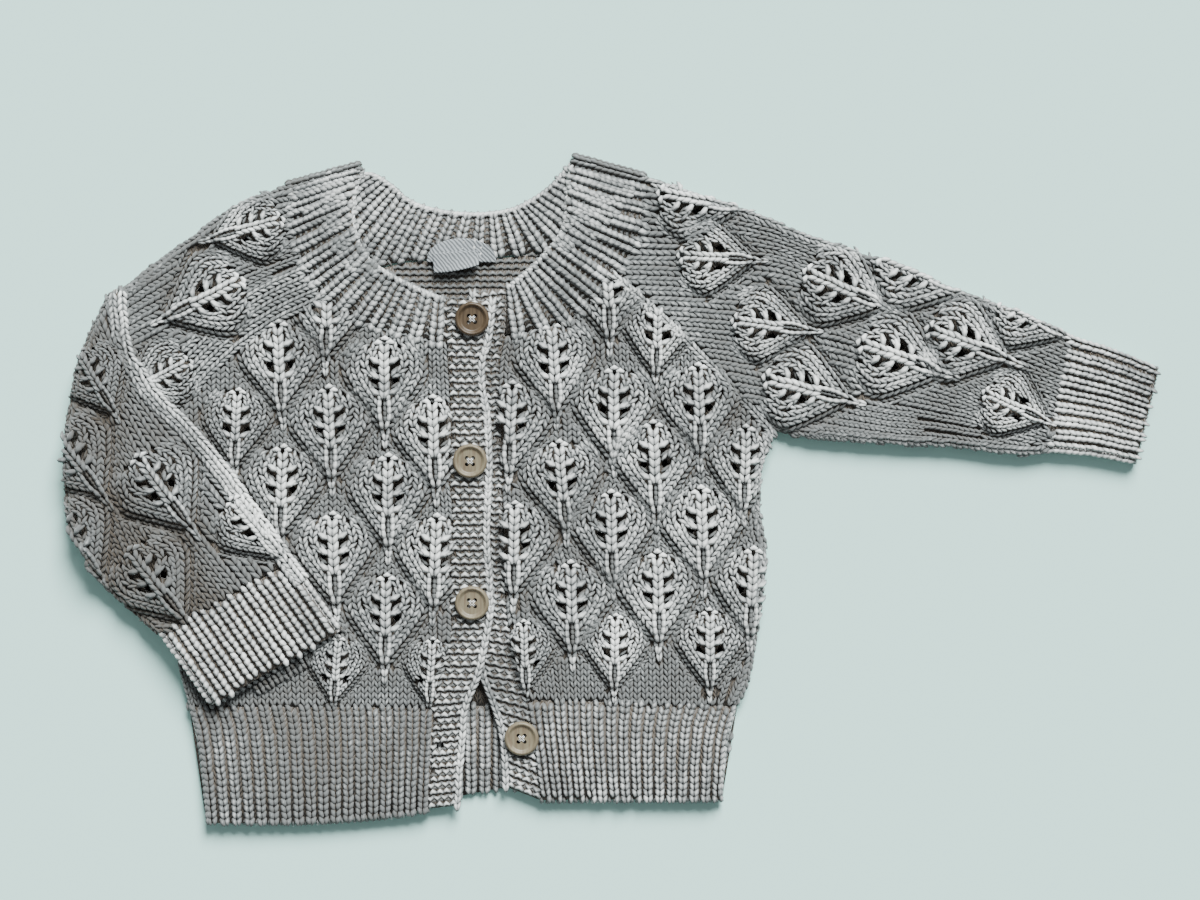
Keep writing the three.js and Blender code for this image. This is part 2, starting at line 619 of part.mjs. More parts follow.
// Rows along the raglan, from the neckband to the armpit.
function raglanRows({ sleeve, raglan, backRaglan, side, count, neckFront, neckUnder }) {
  const upper = curve(sleeve.upper);
  const under = curve(raglan);
  const out = (from, to) => {
    const way = new THREE.Vector3().subVectors(to, from).normalize();
    return new THREE.Vector3(way.y, -way.x, 0).multiplyScalar(side * CURVED_SEAM);
  };
  const backUnder = curve(backRaglan);
  const seamed = (path, t) => sum(path(t), out(path(clamp(t - 0.02)), path(clamp(t + 0.02))));
  return Array.from({ length: count + 1 }, (_, k) => {
    const t = k / count;
    const b = seamed(under, t).setZ(HALF);
    const back = mix(seamed(backUnder, t), b, smooth(t, 0.85, 1)).setZ(HALF);
    const a = upper(sleeve.upperAtArmpit * t).setZ(HALF);
    // The first rows follow the neckband's edge
    const fade = 1 - smooth(t, 0, 0.6);
    const neck = (place, way, span, reach, isBottom) => {
      const edge = isBottom ? neckUnder : neckFront;
      const q = clamp(span / reach);
      const bend = edge(q).sub(mix(edge(0), edge(1), q));
      const goal = sum(edge(q), way, Math.max(span - reach, 0)).setZ(place.z);
      place.copy(k ? sum(place, bend, fade) : goal);
    };
    return { a, b, back, neck, half: HALF, turn: 0, bow: 0, side, closed: smooth(t, 0.82, 1) };
  });
}

function leftSleeveRows() {
  const raglanCount = RAGLAN_ROWS;
  const armCount = 12;
  const rows = raglanRows({
    sleeve: LEFT_SLEEVE,
    raglan: LEFT_RAGLAN,
    backRaglan: LEFT_BACK_RAGLAN,
    side: -1,
    count: raglanCount,
    neckFront: neckEdge("leftFront", "leftFold"),
    neckUnder: neckEdge("leftBack", "leftUnder"),
  });
  const upper = curve(LEFT_SLEEVE.upper);
  const under = curve(LEFT_SLEEVE.underarm);
  for (let k = 1; k <= armCount; k++) {
    const t = k / armCount;
    const half = THREE.MathUtils.lerp(HALF, SLEEVE_HALF, smooth(t, 0, 0.4));
    rows.push({
      a: upper(LEFT_SLEEVE.upperAtArmpit + (1 - LEFT_SLEEVE.upperAtArmpit) * t).setZ(half),
      b: under(t).setZ(half),
      half,
      turn: 0,
      bow: 0,
      side: -1,
      closed: 1,
    });
  }
  return rows;
}

// How far the folded forearm hangs, beyond the side of the body and below the underarm.
const forearmDrop = (x, y) =>
  FOREARM_SAG * smooth(-217 - x, 0, 16) * smooth(27 + (x + 218.5) * 1.41 - y, 6, 26);

function rightSleeveRows() {
  const raglanCount = RAGLAN_ROWS;
  const underarmCount = 4;
  const creaseCount = 8;
  const forearmCount = 10;
  const sleeve = RIGHT_SLEEVE;
  const side = 1;
  const rows = raglanRows({
    sleeve,
    raglan: RIGHT_RAGLAN,
    backRaglan: RIGHT_BACK_RAGLAN,
    side,
    count: raglanCount,
    neckFront: neckEdge("rightFront", "rightFold"),
    neckUnder: neckEdge("rightBack", "rightUnder"),
  });
  const upper = curve(sleeve.upper);
  const under = curve(sleeve.underarm);
  const level = { half: HALF, side, closed: 1 };
  for (let k = 1; k <= underarmCount; k++) {
    const t = k / underarmCount;
    const a = upper(sleeve.upperAtArmpit + (1 - sleeve.upperAtArmpit) * t).setZ(HALF);
    rows.push({ ...level, a, b: under(t).setZ(HALF), turn: 0, bow: sleeve.creaseBow * smooth(t, 0, 1) });
  }
  const crease = rows[rows.length - 1];
  const radius = (FOREARM_HEIGHT - HALF) / 2;
  const way = new THREE.Vector3().subVectors(crease.a, crease.b).normalize();
  const out = new THREE.Vector3(-way.y, way.x, 0);
  for (let k = 1; k < creaseCount; k++) {
    const angle = (Math.PI * k) / creaseCount;
    const move = out.clone().multiplyScalar(radius * Math.sin(angle)).setZ(radius * (1 - Math.cos(angle)));
    const turn = (180 * k) / creaseCount;
    rows.push({ ...level, a: sum(crease.a, move), b: sum(crease.b, move), turn, bow: sleeve.creaseBow });
  }
  const forearmUpper = curve(sleeve.forearmUpper);
  const forearmUnder = curve(sleeve.forearmUnder);
  for (let k = 0; k <= forearmCount; k++) {
    const t = k / forearmCount;
    rows.push({
      a: forearmUpper(t).setZ(FOREARM_HEIGHT),
      b: forearmUnder(t).setZ(FOREARM_HEIGHT),
      drapes: true,
      half: THREE.MathUtils.lerp(HALF, SLEEVE_HALF - 0.1, smooth(t, 0.1, 0.6)),
      turn: 180,
      bow: sleeve.creaseBow * (1 - smooth(t, 0, 0.6)),
      side,
      closed: 1,
    });
  }
  return { rows, creaseAt: raglanCount + underarmCount, forearmAt: rows.length - 1 - forearmCount };
}

function cuffRows({ cuff, height, half, turn, side, count = 2 }) {
  const upper = curve(cuff.upper);
  const under = curve(cuff.under);
  return Array.from({ length: count + 1 }, (_, k) => ({
    a: upper(k / count).setZ(height),
    b: under(k / count).setZ(height),
    half,
    turn,
    bow: 0,
    side,
    closed: 1,
  }));
}

// Holes through one layer of a sleeve, at the height of the nearest point of its grid.
function sleeveHoles(found, rows, columns) {
  const flat = columns.filter(isFlat);
  const places = rows.flatMap((row) => flat.map((column) => ringPoint(row, column, true)));
  return found.map((hole) => {
    const far = places.map((p) => Math.hypot(p.x - hole.x, p.y - hole.y));
    const { z } = places[far.indexOf(Math.min(...far))];
    return { ...hole, low: z - 0.6, high: z + WALL + 2.4 };
  });
}

// Buttons

function button() {
  const { radius, thickness, rim, dish, holeRadius, holeAside } = BUTTON;
  const profile = [
    [0, 0],
    [radius - 1.4, 0],
    [radius, 1.1],
    [radius, thickness - 1],
    [radius - rim * 0.7, thickness],
    [radius - rim * 1.9, thickness - dish],
    [0, thickness - dish],
  ].map(([x, y]) => new THREE.Vector2(x, y));
  const body = new THREE.LatheGeometry(profile, 16).rotateX(Math.PI / 2);
  body.deleteAttribute("normal");
  body.deleteAttribute("uv");
  const holes = [[-1, -1], [1, -1], [1, 1], [-1, 1]].map(([sx, sy]) => ({
    x: sx * holeAside,
    y: sy * holeAside,
    low: -1,
    high: thickness + 1,
    angle: 0,
    width: 2 * holeRadius,
    length: 2 * holeRadius,
  }));
  return punched(body, holes);
}

// A woven tab sewn to the neck: it stands out from its sewn top edge and curls at the free one.
function tab({ x, y, width, height, bottom, lift, arch }) {
  const columns = 6;
  const rows = 4;
  const thickness = 0.5;
  const build = (i, j, rise) => {
    const [u, v] = [i / columns - 0.5, j / rows];
    const free = 1 - v;
    return new THREE.Vector3(
      x + u * width,
      y + v * height - arch * 4 * u * u,
      bottom + rise + lift * free * free * (1 - 0.6 * u),
    );
  };
  return wall({
    columns,
    rows,
    outer: (i, j) => build(i, j, thickness),
    inner: (i, j) => build(i, j, 0),
  });
}

// Assembly

const group = new THREE.Group();
const finish = {
  wool: new THREE.MeshStandardMaterial({ color: COLOURS.wool, roughness: 0.95, metalness: 0 }),
  button: new THREE.MeshStandardMaterial({ color: COLOURS.button, roughness: 0.5, metalness: 0 }),
  label: new THREE.MeshStandardMaterial({ color: COLOURS.label, roughness: 0.85, metalness: 0 }),
};
function add(name, geometry, material) {
  const mesh = new THREE.Mesh(geometryOf(solidOf(geometry).simplify(FLATNESS)), material);
  mesh.name = name;
  group.add(mesh);
  return mesh;
}

const buttonholeSeam = curve(BUTTONHOLE_BAND.seam);
const buttonholeFree = curve(BUTTONHOLE_BAND.free);
const buttonSeam = curve(BUTTON_BAND.seam);
const buttonFree = curve(BUTTON_BAND.free);
const rightHemShare = shareBelow(buttonholeSeam, HEM_TOP.right);
const rightTopShare = shareBelow(buttonholeSeam, 71.6);
const leftHemShare = shareBelow(buttonSeam, HEM_TOP.left);
const leftTopShare = shareBelow(buttonSeam, 76.6);

// Panels of the body, in plan. Each edge runs left to right or bottom to top.
const sideShare = SIDE_ROWS / (SIDE_ROWS + RAGLAN_ROWS);
// The last share of each front's neck edge is bent to the top of its band.
const rightFront = {
  left: joined(curve(RIGHT_SIDE), reversed(curve(RIGHT_RAGLAN)), sideShare),
  right: aside(part(buttonholeSeam, rightHemShare, rightTopShare), -SEAM),
};
const neckFirst = (t) => neckOutAt(cornerAt("rightFront") * (1 - t));
const neckFirstGap = rightFront.right(1).sub(neckFirst(1));
rightFront.top = (t) => sum(neckFirst(t), neckFirstGap, t);
rightFront.bottom = line(rightFront.left(0), rightFront.right(0));

const leftFront = {
  left: aside(part(buttonSeam, leftHemShare, leftTopShare), SEAM),
  right: joined(curve(LEFT_SIDE), reversed(curve(LEFT_RAGLAN)), sideShare),
};
const neckEnd = NECKBAND.length - 1;
const neckLast = (t) => neckOutAt(neckEnd - (neckEnd - cornerAt("leftFront")) * t);
const neckLastGap = leftFront.left(1).sub(neckLast(0));
leftFront.top = (t) => sum(neckLast(t), neckLastGap, 1 - t);
leftFront.bottom = line(leftFront.left(0), leftFront.right(0));

const back = {
  left: joined(curve(RIGHT_SIDE), reversed(curve(RIGHT_BACK_RAGLAN)), sideShare),
  right: joined(curve(LEFT_SIDE), reversed(curve(LEFT_BACK_RAGLAN)), sideShare),
  top: lowered(neckEdge("rightBack", "leftBack"), CURVED_SEAM),
};
back.bottom = line(back.left(0), back.right(0));

// The folded forearm and cuff, in plan, and whether they cover a place
const forearmPlan = [
  ...RIGHT_SLEEVE.forearmUpper,
  ...RIGHT_SLEEVE.cuff.upper,
  ...[...RIGHT_SLEEVE.cuff.under].reverse(),
  ...[...RIGHT_SLEEVE.forearmUnder].reverse(),
].map((p) => vector(p));
const uncovered = (x, y) => 1 - smooth(depthIn(forearmPlan, x, y), -9, -4);

const frontColumns = 22;
const frontRows = SIDE_ROWS + RAGLAN_ROWS;
function frontPanel(edges, leaves, under, rolled) {
  const outline = outlineOf(edges);
  const geometry = panel({
    edges,
    columns: frontColumns,
    rows: frontRows,
    upper: (x, y) => under(x, y) + WALL + leafRelief(leaves, x, y) * uncovered(x, y),
    under,
    armpit: sideShare,
    ...rolled,
  });
  const seen = eyelets(leaves, outline, 4.5).filter(({ x, y }) => uncovered(x, y) === 1);
  const holes = seen.map((hole) => {
    const low = under(hole.x, hole.y);
    return { ...hole, low: low - 0.6, high: low + WALL + 3 };
  });
  return punched(geometry, holes);
}

add(
  "right_front",
  frontPanel(rightFront, LEAVES.rightFront, rightFrontUnder, { rollLeft: 1 }),
  finish.wool,
);
add("left_front", frontPanel(leftFront, LEAVES.leftFront, leftFrontUnder, { rollRight: 1 }), finish.wool);

add(
  "back",
  panel({
    edges: back,
    columns: 16,
    rows: SIDE_ROWS + RAGLAN_ROWS,
    upper: () => WALL,
    under: () => 0,
    rollLeft: 1,
    rollRight: 1,
    armpit: sideShare,
    isBack: true,
  }),
  finish.wool,
);

// Ribbed hems
const ribRise = (i) => (i % RIB_COLUMNS ? RIB_RISE : 0);
function hem(edges, ribs, upper, under, rolled) {
  return panel({ edges, columns: ribs * RIB_COLUMNS, rows: 2, upper, under, ...rolled });
}
const rightHem = {
  left: lowered(curve(RIGHT_HEM_SIDE), SEAM),
  top: lowered(rightFront.bottom, SEAM),
};
rightHem.right = (t) => mix(vector([-85.3, -159]), rightHem.top(1), t);
rightHem.bottom = curve([
  [rightHem.left(0).x, rightHem.left(0).y],
  [-150, -165.3],
  [-108, -162.5],
  [rightHem.right(0).x, rightHem.right(0).y],
]);
add(
  "right_hem_rib",
  hem(
    rightHem,
    18,
    (x, y, i) => rightFrontUnder(x, y) + WALL + ribRise(i),
    (x, y) => rightFrontUnder(x, y),
    { rollLeft: 1 },
  ),
  finish.wool,
);
const leftHem = {
  right: lowered(curve(LEFT_HEM_SIDE), SEAM),
  top: lowered(leftFront.bottom, SEAM),
};
leftHem.left = (t) => mix(vector([-29.7, -154.2]), leftHem.top(0), t);
leftHem.bottom = line(leftHem.left(0), leftHem.right(0));
add(
  "left_hem_rib",
  hem(
    leftHem,
    16,
    (x, y, i) => leftFrontUnder(x, y) + WALL + ribRise(i),
    (x, y) => leftFrontUnder(x, y),
    { rollRight: 1 },
  ),
  finish.wool,
);
const backHem = {
  left: lowered(curve(RIGHT_HEM_SIDE), SEAM),
  right: lowered(curve(LEFT_HEM_SIDE), SEAM),
  top: lowered(back.bottom, SEAM),
};
backHem.bottom = curve([
  [backHem.left(0).x, backHem.left(0).y],
  [-130, -158],
  [-69, -152.5],
  [-42, -147.5],
  [10, -149.5],
  [backHem.right(0).x, backHem.right(0).y],
]);
add(
  "back_hem_rib",
  panel({
    edges: backHem,
    columns: 26,
    rows: 2,
    upper: () => WALL,
    under: () => 0,
    rollLeft: 1,
    rollRight: 1,
    isBack: true,
  }),
  finish.wool,
);

// Garter-stitch bands
const garterRise = (j) => (j % 2 ? GARTER_RISE : 0);
function band(left, right, ridges, under) {
  return panel({
    edges: { left, right, bottom: line(left(0), right(0)), top: line(left(1), right(1)) },
    columns: 2,
    rows: ridges * 2,
    upper: (x, y, i, j) => under(x, y) + BAND_WALL + garterRise(j),
    under,
  });
}
const bandUnder = (x, y) => MID + AIR / 2 + lapRise(x, y);
const buttonholes = [...BUTTONS.slice(0, 3), OPEN_BUTTONHOLE].map(({ x, y }) => ({
  x,
  y,
  width: OPEN_BUTTONHOLE.width,
  length: OPEN_BUTTONHOLE.length,
  angle: 0,
  low: bandUnder(x, y) - 0.5,
  high: bandUnder(x, y) + BAND_WALL + 2,
}));
add(
  "buttonhole_band",
  punched(band(buttonholeSeam, buttonholeFree, 40, bandUnder), buttonholes, 6),
  finish.wool,
);
add("button_band", band(buttonFree, buttonSeam, 40, () => MID + AIR / 2), finish.wool);

add("neckband", neckband(), finish.wool);

// Sleeves
const upperColumns = layerColumns(FLAT_COLUMNS, false);
const underColumns = layerColumns(FLAT_COLUMNS, true);
const edgeFade = (column) => clamp(8 * column.across * (1 - column.across));

const planOf = (rows) => [
  ...rows.map((row) => row.a.clone().setZ(0)),
  ...rows.map((row) => row.b.clone().setZ(0)).reverse(),
];

const leftSleeve = leftSleeveRows();
const leftRelief = (p, column) =>
  isFlat(column) ? leafRelief(LEAVES.leftSleeve, p.x, p.y) * edgeFade(column) : 0;
const leftFrontLayer = { rows: leftSleeve, columns: upperColumns, relief: leftRelief, flip: true };
const leftHoles = sleeveHoles(eyelets(LEAVES.leftSleeve, planOf(leftSleeve), 8), leftSleeve, upperColumns);
add("left_sleeve_front", punched(sleeveWall(leftFrontLayer), leftHoles), finish.wool);
add("left_sleeve_back", sleeveWall({ rows: leftSleeve, columns: underColumns, flip: true }), finish.wool);

const rightSleeve = rightSleeveRows();
const upperArmRows = rightSleeve.rows.slice(0, rightSleeve.creaseAt + 1);
const forearmRows = rightSleeve.rows.slice(rightSleeve.forearmAt);
const upperArmRelief = (p, column, j) =>
  isFlat(column) && j < rightSleeve.creaseAt
    ? leafRelief(LEAVES.rightUpperArm, p.x, p.y) * edgeFade(column) * uncovered(p.x, p.y)
    : 0;
const forearmRelief = (p, column, j) =>
  isFlat(column) && j > rightSleeve.forearmAt
    ? leafRelief(LEAVES.rightForearm, p.x, p.y) * edgeFade(column)
    : 0;
const upperArmEyelets = eyelets(LEAVES.rightUpperArm, planOf(upperArmRows), 8).filter(
  ({ x, y }) => uncovered(x, y) === 1,
);
const forearmEyelets = eyelets(LEAVES.rightForearm, planOf(forearmRows), 9);
add(
  "right_sleeve_front",
  punched(
    sleeveWall({ rows: rightSleeve.rows, columns: upperColumns, relief: upperArmRelief }),
    sleeveHoles(upperArmEyelets, upperArmRows, upperColumns),
  ),
  finish.wool,
);
add(
  "right_sleeve_back",
  punched(
    sleeveWall({ rows: rightSleeve.rows, columns: underColumns, relief: forearmRelief }),
    sleeveHoles(forearmEyelets, forearmRows, underColumns),
  ),
  finish.wool,
);

// Cuffs
const cuffColumns = ringColumns(CUFF_FLAT_COLUMNS);
const cuffRelief = (isUnder) => (p, column, j, i) =>
  isFlat(column) && column.angle < 0 === isUnder ? ribRise(i) : 0;
const cuffs = [
  {
    name: "left_cuff",
    rows: cuffRows({ cuff: LEFT_SLEEVE.cuff, height: SLEEVE_HALF, half: SLEEVE_HALF, turn: 0, side: -1 }),
    relief: cuffRelief(false),
    flip: true,
  },
  {
    name: "right_cuff",
    rows: cuffRows({
      cuff: RIGHT_SLEEVE.cuff,
      height: FOREARM_HEIGHT,
      half: SLEEVE_HALF - 0.1,
      turn: 180,
      side: 1,
    }),
    relief: cuffRelief(true),
  },
];
for (const { name, ...cuff } of cuffs) {
  add(name, sleeveWall({ ...cuff, columns: cuffColumns, isClosed: true }), finish.wool);
}

for (const { name, x, y } of BUTTONS) {
  const seat = x < -50 ? bandUnder(x, y) + BAND_WALL + GARTER_RISE : MID + AIR / 2 + WALL + RIB_RISE;
  add(name, button(), finish.button).position.set(x, y, seat + SEAM);
}

add(
  "neck_label",
  tab({ x: -68.3, y: 114.5, width: 33, height: 11.5, bottom: 2.6, lift: 0.5, arch: 2 }),
  finish.label,
);
add(
  "size_label",
  tab({ x: -72, y: 108, width: 22, height: 11, bottom: 4.1, lift: 1.6, arch: 0.6 }),
  finish.label,
);

const middle = new THREE.Box3().setFromObject(group, true).getCenter(new THREE.Vector3());
group.position.set(-middle.x, -middle.y, 0);

export default group;
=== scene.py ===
# %% [markdown]
# # A baby's leaf-lace cardigan
# A hand-knit style cardigan laid flat with its front up. The frame gives every piece its place and form. Here
# each knitted piece gets two things: a thin shell on that form, and real loops of yarn laid over it, because
# knitting is read from its loops and the dark gaps between them, which a flat texture can't give near to.

# %%
import math

import bpy
import numpy as np
from mathutils import Matrix, Vector
from mathutils.bvhtree import BVHTree


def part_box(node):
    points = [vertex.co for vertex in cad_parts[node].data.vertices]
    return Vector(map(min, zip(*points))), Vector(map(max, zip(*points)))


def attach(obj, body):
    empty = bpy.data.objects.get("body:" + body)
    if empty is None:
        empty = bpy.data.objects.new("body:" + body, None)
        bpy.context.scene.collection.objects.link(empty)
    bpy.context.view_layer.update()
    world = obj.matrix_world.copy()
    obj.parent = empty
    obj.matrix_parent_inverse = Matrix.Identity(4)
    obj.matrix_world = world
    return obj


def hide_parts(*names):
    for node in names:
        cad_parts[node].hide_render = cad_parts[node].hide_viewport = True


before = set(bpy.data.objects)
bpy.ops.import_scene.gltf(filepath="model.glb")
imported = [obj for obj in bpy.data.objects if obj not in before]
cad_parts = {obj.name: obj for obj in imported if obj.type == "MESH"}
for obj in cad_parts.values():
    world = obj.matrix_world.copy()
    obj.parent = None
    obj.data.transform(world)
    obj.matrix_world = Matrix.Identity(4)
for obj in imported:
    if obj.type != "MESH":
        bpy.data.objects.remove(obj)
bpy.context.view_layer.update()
random = np.random.default_rng(11)
MM = 0.001
print(f"{len(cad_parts)} pieces in the frame")

# %% [markdown]
# ## The plan
# All the measures below are millimetres on one plan of the laid garment, seen from above, with x to the right
# and y up. The frame's own middle lies a little off the plan's zero, so one shift ties the two together.

# %%
PLAN_SHIFT = np.array([-5.9513, 0.2569])

# Each leaf is the tip of its blade and the end of its stem. How wide its blade is pulled is added below.
LEAVES = {
    "left_front": [
        ((-24, 80), (-21, 31)), ((-20.5, 21.5), (-16.5, -27.5)), ((-14.5, -38.5), (-13.5, -89)),
        ((3.5, 117.5), (5, 67.5)), ((7, 58), (6.5, 7)), ((5.5, -3.5), (6, -54)), ((7.5, -64.5), (7, -105)),
        ((29, 93.5), (27.5, 51)), ((26.5, 31), (28, -20)), ((28.5, -33.5), (29.5, -84)),
        ((48.5, 59.5), (50, 10)), ((50, -1.5), (52, -52.5)), ((54.5, -62), (54.5, -105)),
        ((72.5, 29), (71, -17.5)), ((76, -31.5), (74, -80)),
        ((-43.5, 50.5), (-46, 0)), ((-42.5, -9), (-43, -60)), ((-38, -67.5), (-36.5, -105)),
    ],
    "right_front": [
        ((-107, 72.5), (-107, 22)), ((-105, 14.5), (-105.5, -36)), ((-106, -45), (-107, -95)),
        ((-135, 107.5), (-136.5, 58)), ((-135, 48.5), (-133, -2)), ((-133, -14.5), (-131, -65)),
        ((-130, -75), (-133, -111)), ((-160, 81), (-158, 31)), ((-157.5, 19), (-159.5, -31)),
        ((-180, 47.5), (-182, 5)), ((-83, 43.5), (-81, -7)), ((-81, -15.5), (-83, -66)), ((-83, -76), (-85, -111)),
    ],
    "left_sleeve_front": [
        ((41.5, 116.5), (82.5, 114)), ((68.5, 84), (110, 78.5)), ((104, 107.5), (147.5, 88.5)),
        ((84, 55), (131, 43)), ((131, 72.5), (177.5, 56)), ((165, 79.5), (209, 62.5)), ((192.5, 47.5), (226, 32.5)),
        ((31.5, 147), (76, 139)), ((140, 116), (187.5, 96)), ((200, 93.5), (236, 74)),
    ],
    "right_sleeve_front": [
        ((-180, 103.5), (-222.5, 82.5)), ((-205.5, 63), (-240, 45)), ((-160, 134), (-198.5, 123.5)),
    ],
    "right_sleeve_back": [
        ((-227.5, 15), (-198.5, -24)), ((-231.5, -31), (-201.5, -69)), ((-181, -6), (-154, -37.5)),
        ((-270, 30), (-242, -8.5)), ((-270, -10), (-244, -49)), ((-257, 67.5), (-238, 34)),
    ],
}

# The blades on the sleeves are pulled wider than those on the fronts.
SLEEVE_WIDE, FRONT_WIDE = 1.25, 1.1
LEAVES = {
    name: [(*leaf, SLEEVE_WIDE if "sleeve" in name else FRONT_WIDE) for leaf in leaves] for name, leaves in LEAVES.items()
}

# Lines that the columns of stitches follow, each from its lower end to its upper end.
GUIDES = {
    "left_front": [
        [(-36.7, -108), (-37, -101.5), (-40.5, -88), (-46.6, -60), (-48.4, 0), (-49.6, 40), (-49.8, 62),
            (-47, 80), (-44, 130)],
        [(-12.5, -108), (-13.5, -89), (-14.5, -38.5), (-16.5, -27.5), (-20.5, 21.5), (-21, 31), (-24, 80),
            (-25, 130)],
        [(7, -108), (7.5, -64.5), (6, -54), (5.5, -3.5), (6.5, 7), (7, 58), (5, 67.5), (3.5, 117.5), (3, 130)],
        [(30, -108), (29.5, -84), (28.5, -33.5), (28, -20), (26.5, 31), (27.5, 51), (29, 93.5), (30, 130)],
        [(52, -108), (54, -62), (52, -52.5), (50, -1.5), (50, 10), (48.5, 59.5), (47, 130)],
        [(61, -108), (70, -80), (73, -31.5), (70.5, -17.5), (72.5, 29), (72, 130)],
        [(69.5, -108), (75, -95), (78.5, -75), (81.5, -55), (83.5, -35), (82.5, -20), (80, -5), (80.5, 9),
            (88.5, 29), (92, 130)],
    ],
    "right_front": [
        [(-206, -108), (-210.5, -92.5), (-213.5, -75), (-215, -55), (-215.5, -35), (-213, 0), (-215, 14),
            (-219.5, 27), (-222, 130)],
        [(-178, -108), (-181, -30), (-182, 5), (-180, 47.5), (-180, 130)],
        [(-155, -108), (-159.5, -31), (-157.5, 19), (-158, 31), (-160, 81), (-160, 130)],
        [(-131, -108), (-130, -75), (-131, -65), (-133, -14.5), (-133, -2), (-135, 48.5), (-136.5, 58),
            (-135, 107.5), (-135, 130)],
        [(-107, -108), (-107, -95), (-106, -45), (-105.5, -36), (-105, 14.5), (-107, 22), (-107, 72.5), (-107, 130)],
        [(-85, -108), (-83, -76), (-83, -66), (-81, -15.5), (-81, -7), (-83, 43.5), (-84, 130)],
        [(-81.5, -108), (-78, -88), (-73.8, -70), (-74.6, -50), (-73.2, -16), (-74.6, 4), (-74, 30),
            (-75, 54), (-76, 71), (-77, 130)],
    ],
    "left_sleeve_front": [
        [(232, 80), (200, 94), (175, 103), (150, 114), (125, 121.5), (100, 130.5), (80, 139), (50, 149), (8, 160)],
        [(236, 74), (200, 91), (187.5, 96), (140, 114), (104, 127), (76, 137), (31.5, 147), (2, 150)],
        [(231, 54), (209, 62.5), (165, 79.5), (147.5, 88.5), (104, 107.5), (82.5, 114), (41.5, 116.5), (0, 117)],
        [(225, 33), (192.5, 47.5), (177.5, 56), (131, 72.5), (110, 78.5), (68.5, 84), (20, 88)],
        [(223, 24), (200, 30), (160, 38), (131, 43), (84, 55), (30, 66)],
        [(222, 17), (207, 16.4), (190, 19), (173, 21), (152, 21.6), (130, 23.2), (108, 25), (60, 29)],
    ],
    "right_sleeve_front": [
        [(-238, 100), (-230, 108.5), (-215, 119), (-200, 130), (-188, 139.5), (-175, 146.5), (-150, 154)],
        [(-250, 88), (-222, 109), (-198.5, 123.5), (-160, 134), (-140, 138)],
        [(-262, 62), (-222.5, 82.5), (-180, 103.5), (-132, 122)],
        [(-272, 30), (-240, 45), (-205.5, 63), (-180, 84), (-150, 103), (-132, 110)],
        [(-262, -10), (-240, 8), (-220.5, 27.5), (-207, 43.5), (-193.5, 59), (-178, 73.5), (-162.5, 84.5),
            (-147, 92), (-130, 99)],
    ],
    "right_sleeve_back": [
        [(-151, -35), (-164, -15.5), (-179, 6.5), (-199, 31.5), (-214, 45.5), (-227, 62), (-235, 80), (-236, 99)],
        [(-157, -38), (-181, -6), (-200, 17), (-222, 42), (-240, 66), (-250, 92)],
        [(-178, -50), (-198.5, -24), (-227.5, 15), (-238, 34), (-257, 67.5), (-262, 84)],
        [(-204, -66), (-231.5, -31), (-242, -8.5), (-268, 30), (-272, 50)],
        [(-218, -71), (-244, -49), (-268, -10), (-276, 14)],
        [(-220, -73), (-232, -63), (-247, -50), (-258, -29), (-276, -12)],
    ],
}

# Where the sleeves are joined to the fronts
RAGLANS = {
    "right_front": [(-218.5, 27), (-206, 42), (-192.5, 57.5), (-177.5, 71.5), (-162, 82), (-147, 89.5), (-136.5, 94)],
    "left_front": [(87.5, 29), (70, 49), (50, 70), (28, 91), (8, 108)],
}

# %% [markdown]
# ## Where the cloth lies
# Yarn has to lie on the form, so its height is needed at any place. A ray dropped on a piece of the frame at
# every millimetre gives a height grid. Holes are filled from their edges and the grid is blurred a little, as
# the frame is made of flat triangles and the yarn shouldn't show them.

# %%
LOW = np.array([-285.0, -175.0])
COUNT = (575, 350)


def survey(name):
    """Heights in mm over the grid, and where a ray from above hits."""
    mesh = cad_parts[name].data
    tree = BVHTree.FromPolygons([v.co for v in mesh.vertices], [p.vertices for p in mesh.polygons])
    low, high = (np.array(corner)[:2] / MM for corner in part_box(name))
    first = np.maximum(np.floor(low - LOW).astype(int) - 1, 0)
    last = np.minimum(np.ceil(high - LOW).astype(int) + 2, COUNT)
    z = np.full(COUNT, np.nan)
    down = Vector((0, 0, -1))
    for i in range(first[0], last[0]):
        for j in range(first[1], last[1]):
            hit = tree.ray_cast(Vector(((LOW[0] + i) * MM, (LOW[1] + j) * MM, 0.1)), down)[0]
            if hit:
                z[i, j] = hit.z / MM
    return z


def neighbours(grid):
    """The grid and its eight shifted copies."""
    padded = np.pad(grid, 1, mode="edge")
    return np.array([padded[a : a + grid.shape[0], b : b + grid.shape[1]] for a in range(3) for b in range(3)])


def filled(z, steps=14):
    z = z.copy()
    for _ in range(steps):
        around = neighbours(z)
        known = ~np.isnan(around)
        total = np.where(known, around, 0).sum(0)
        z = np.where(np.isnan(z) & known.any(0), total / np.maximum(known.sum(0), 1), z)
    return z


CLOTH = [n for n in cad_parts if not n.startswith("button_") and not n.endswith("label")] + ["button_band"]
raw = {name: survey(name) for name in CLOTH}
# The folded forearm is the upper of the two heights of its piece, and what shows through its eyelets isn't it.
FOREARM_LEVEL = 6.5
raw["right_sleeve_back"][raw["right_sleeve_back"] < FOREARM_LEVEL] = np.nan
# A piece counts as covered where another lies this much above it
COVER = 0.4

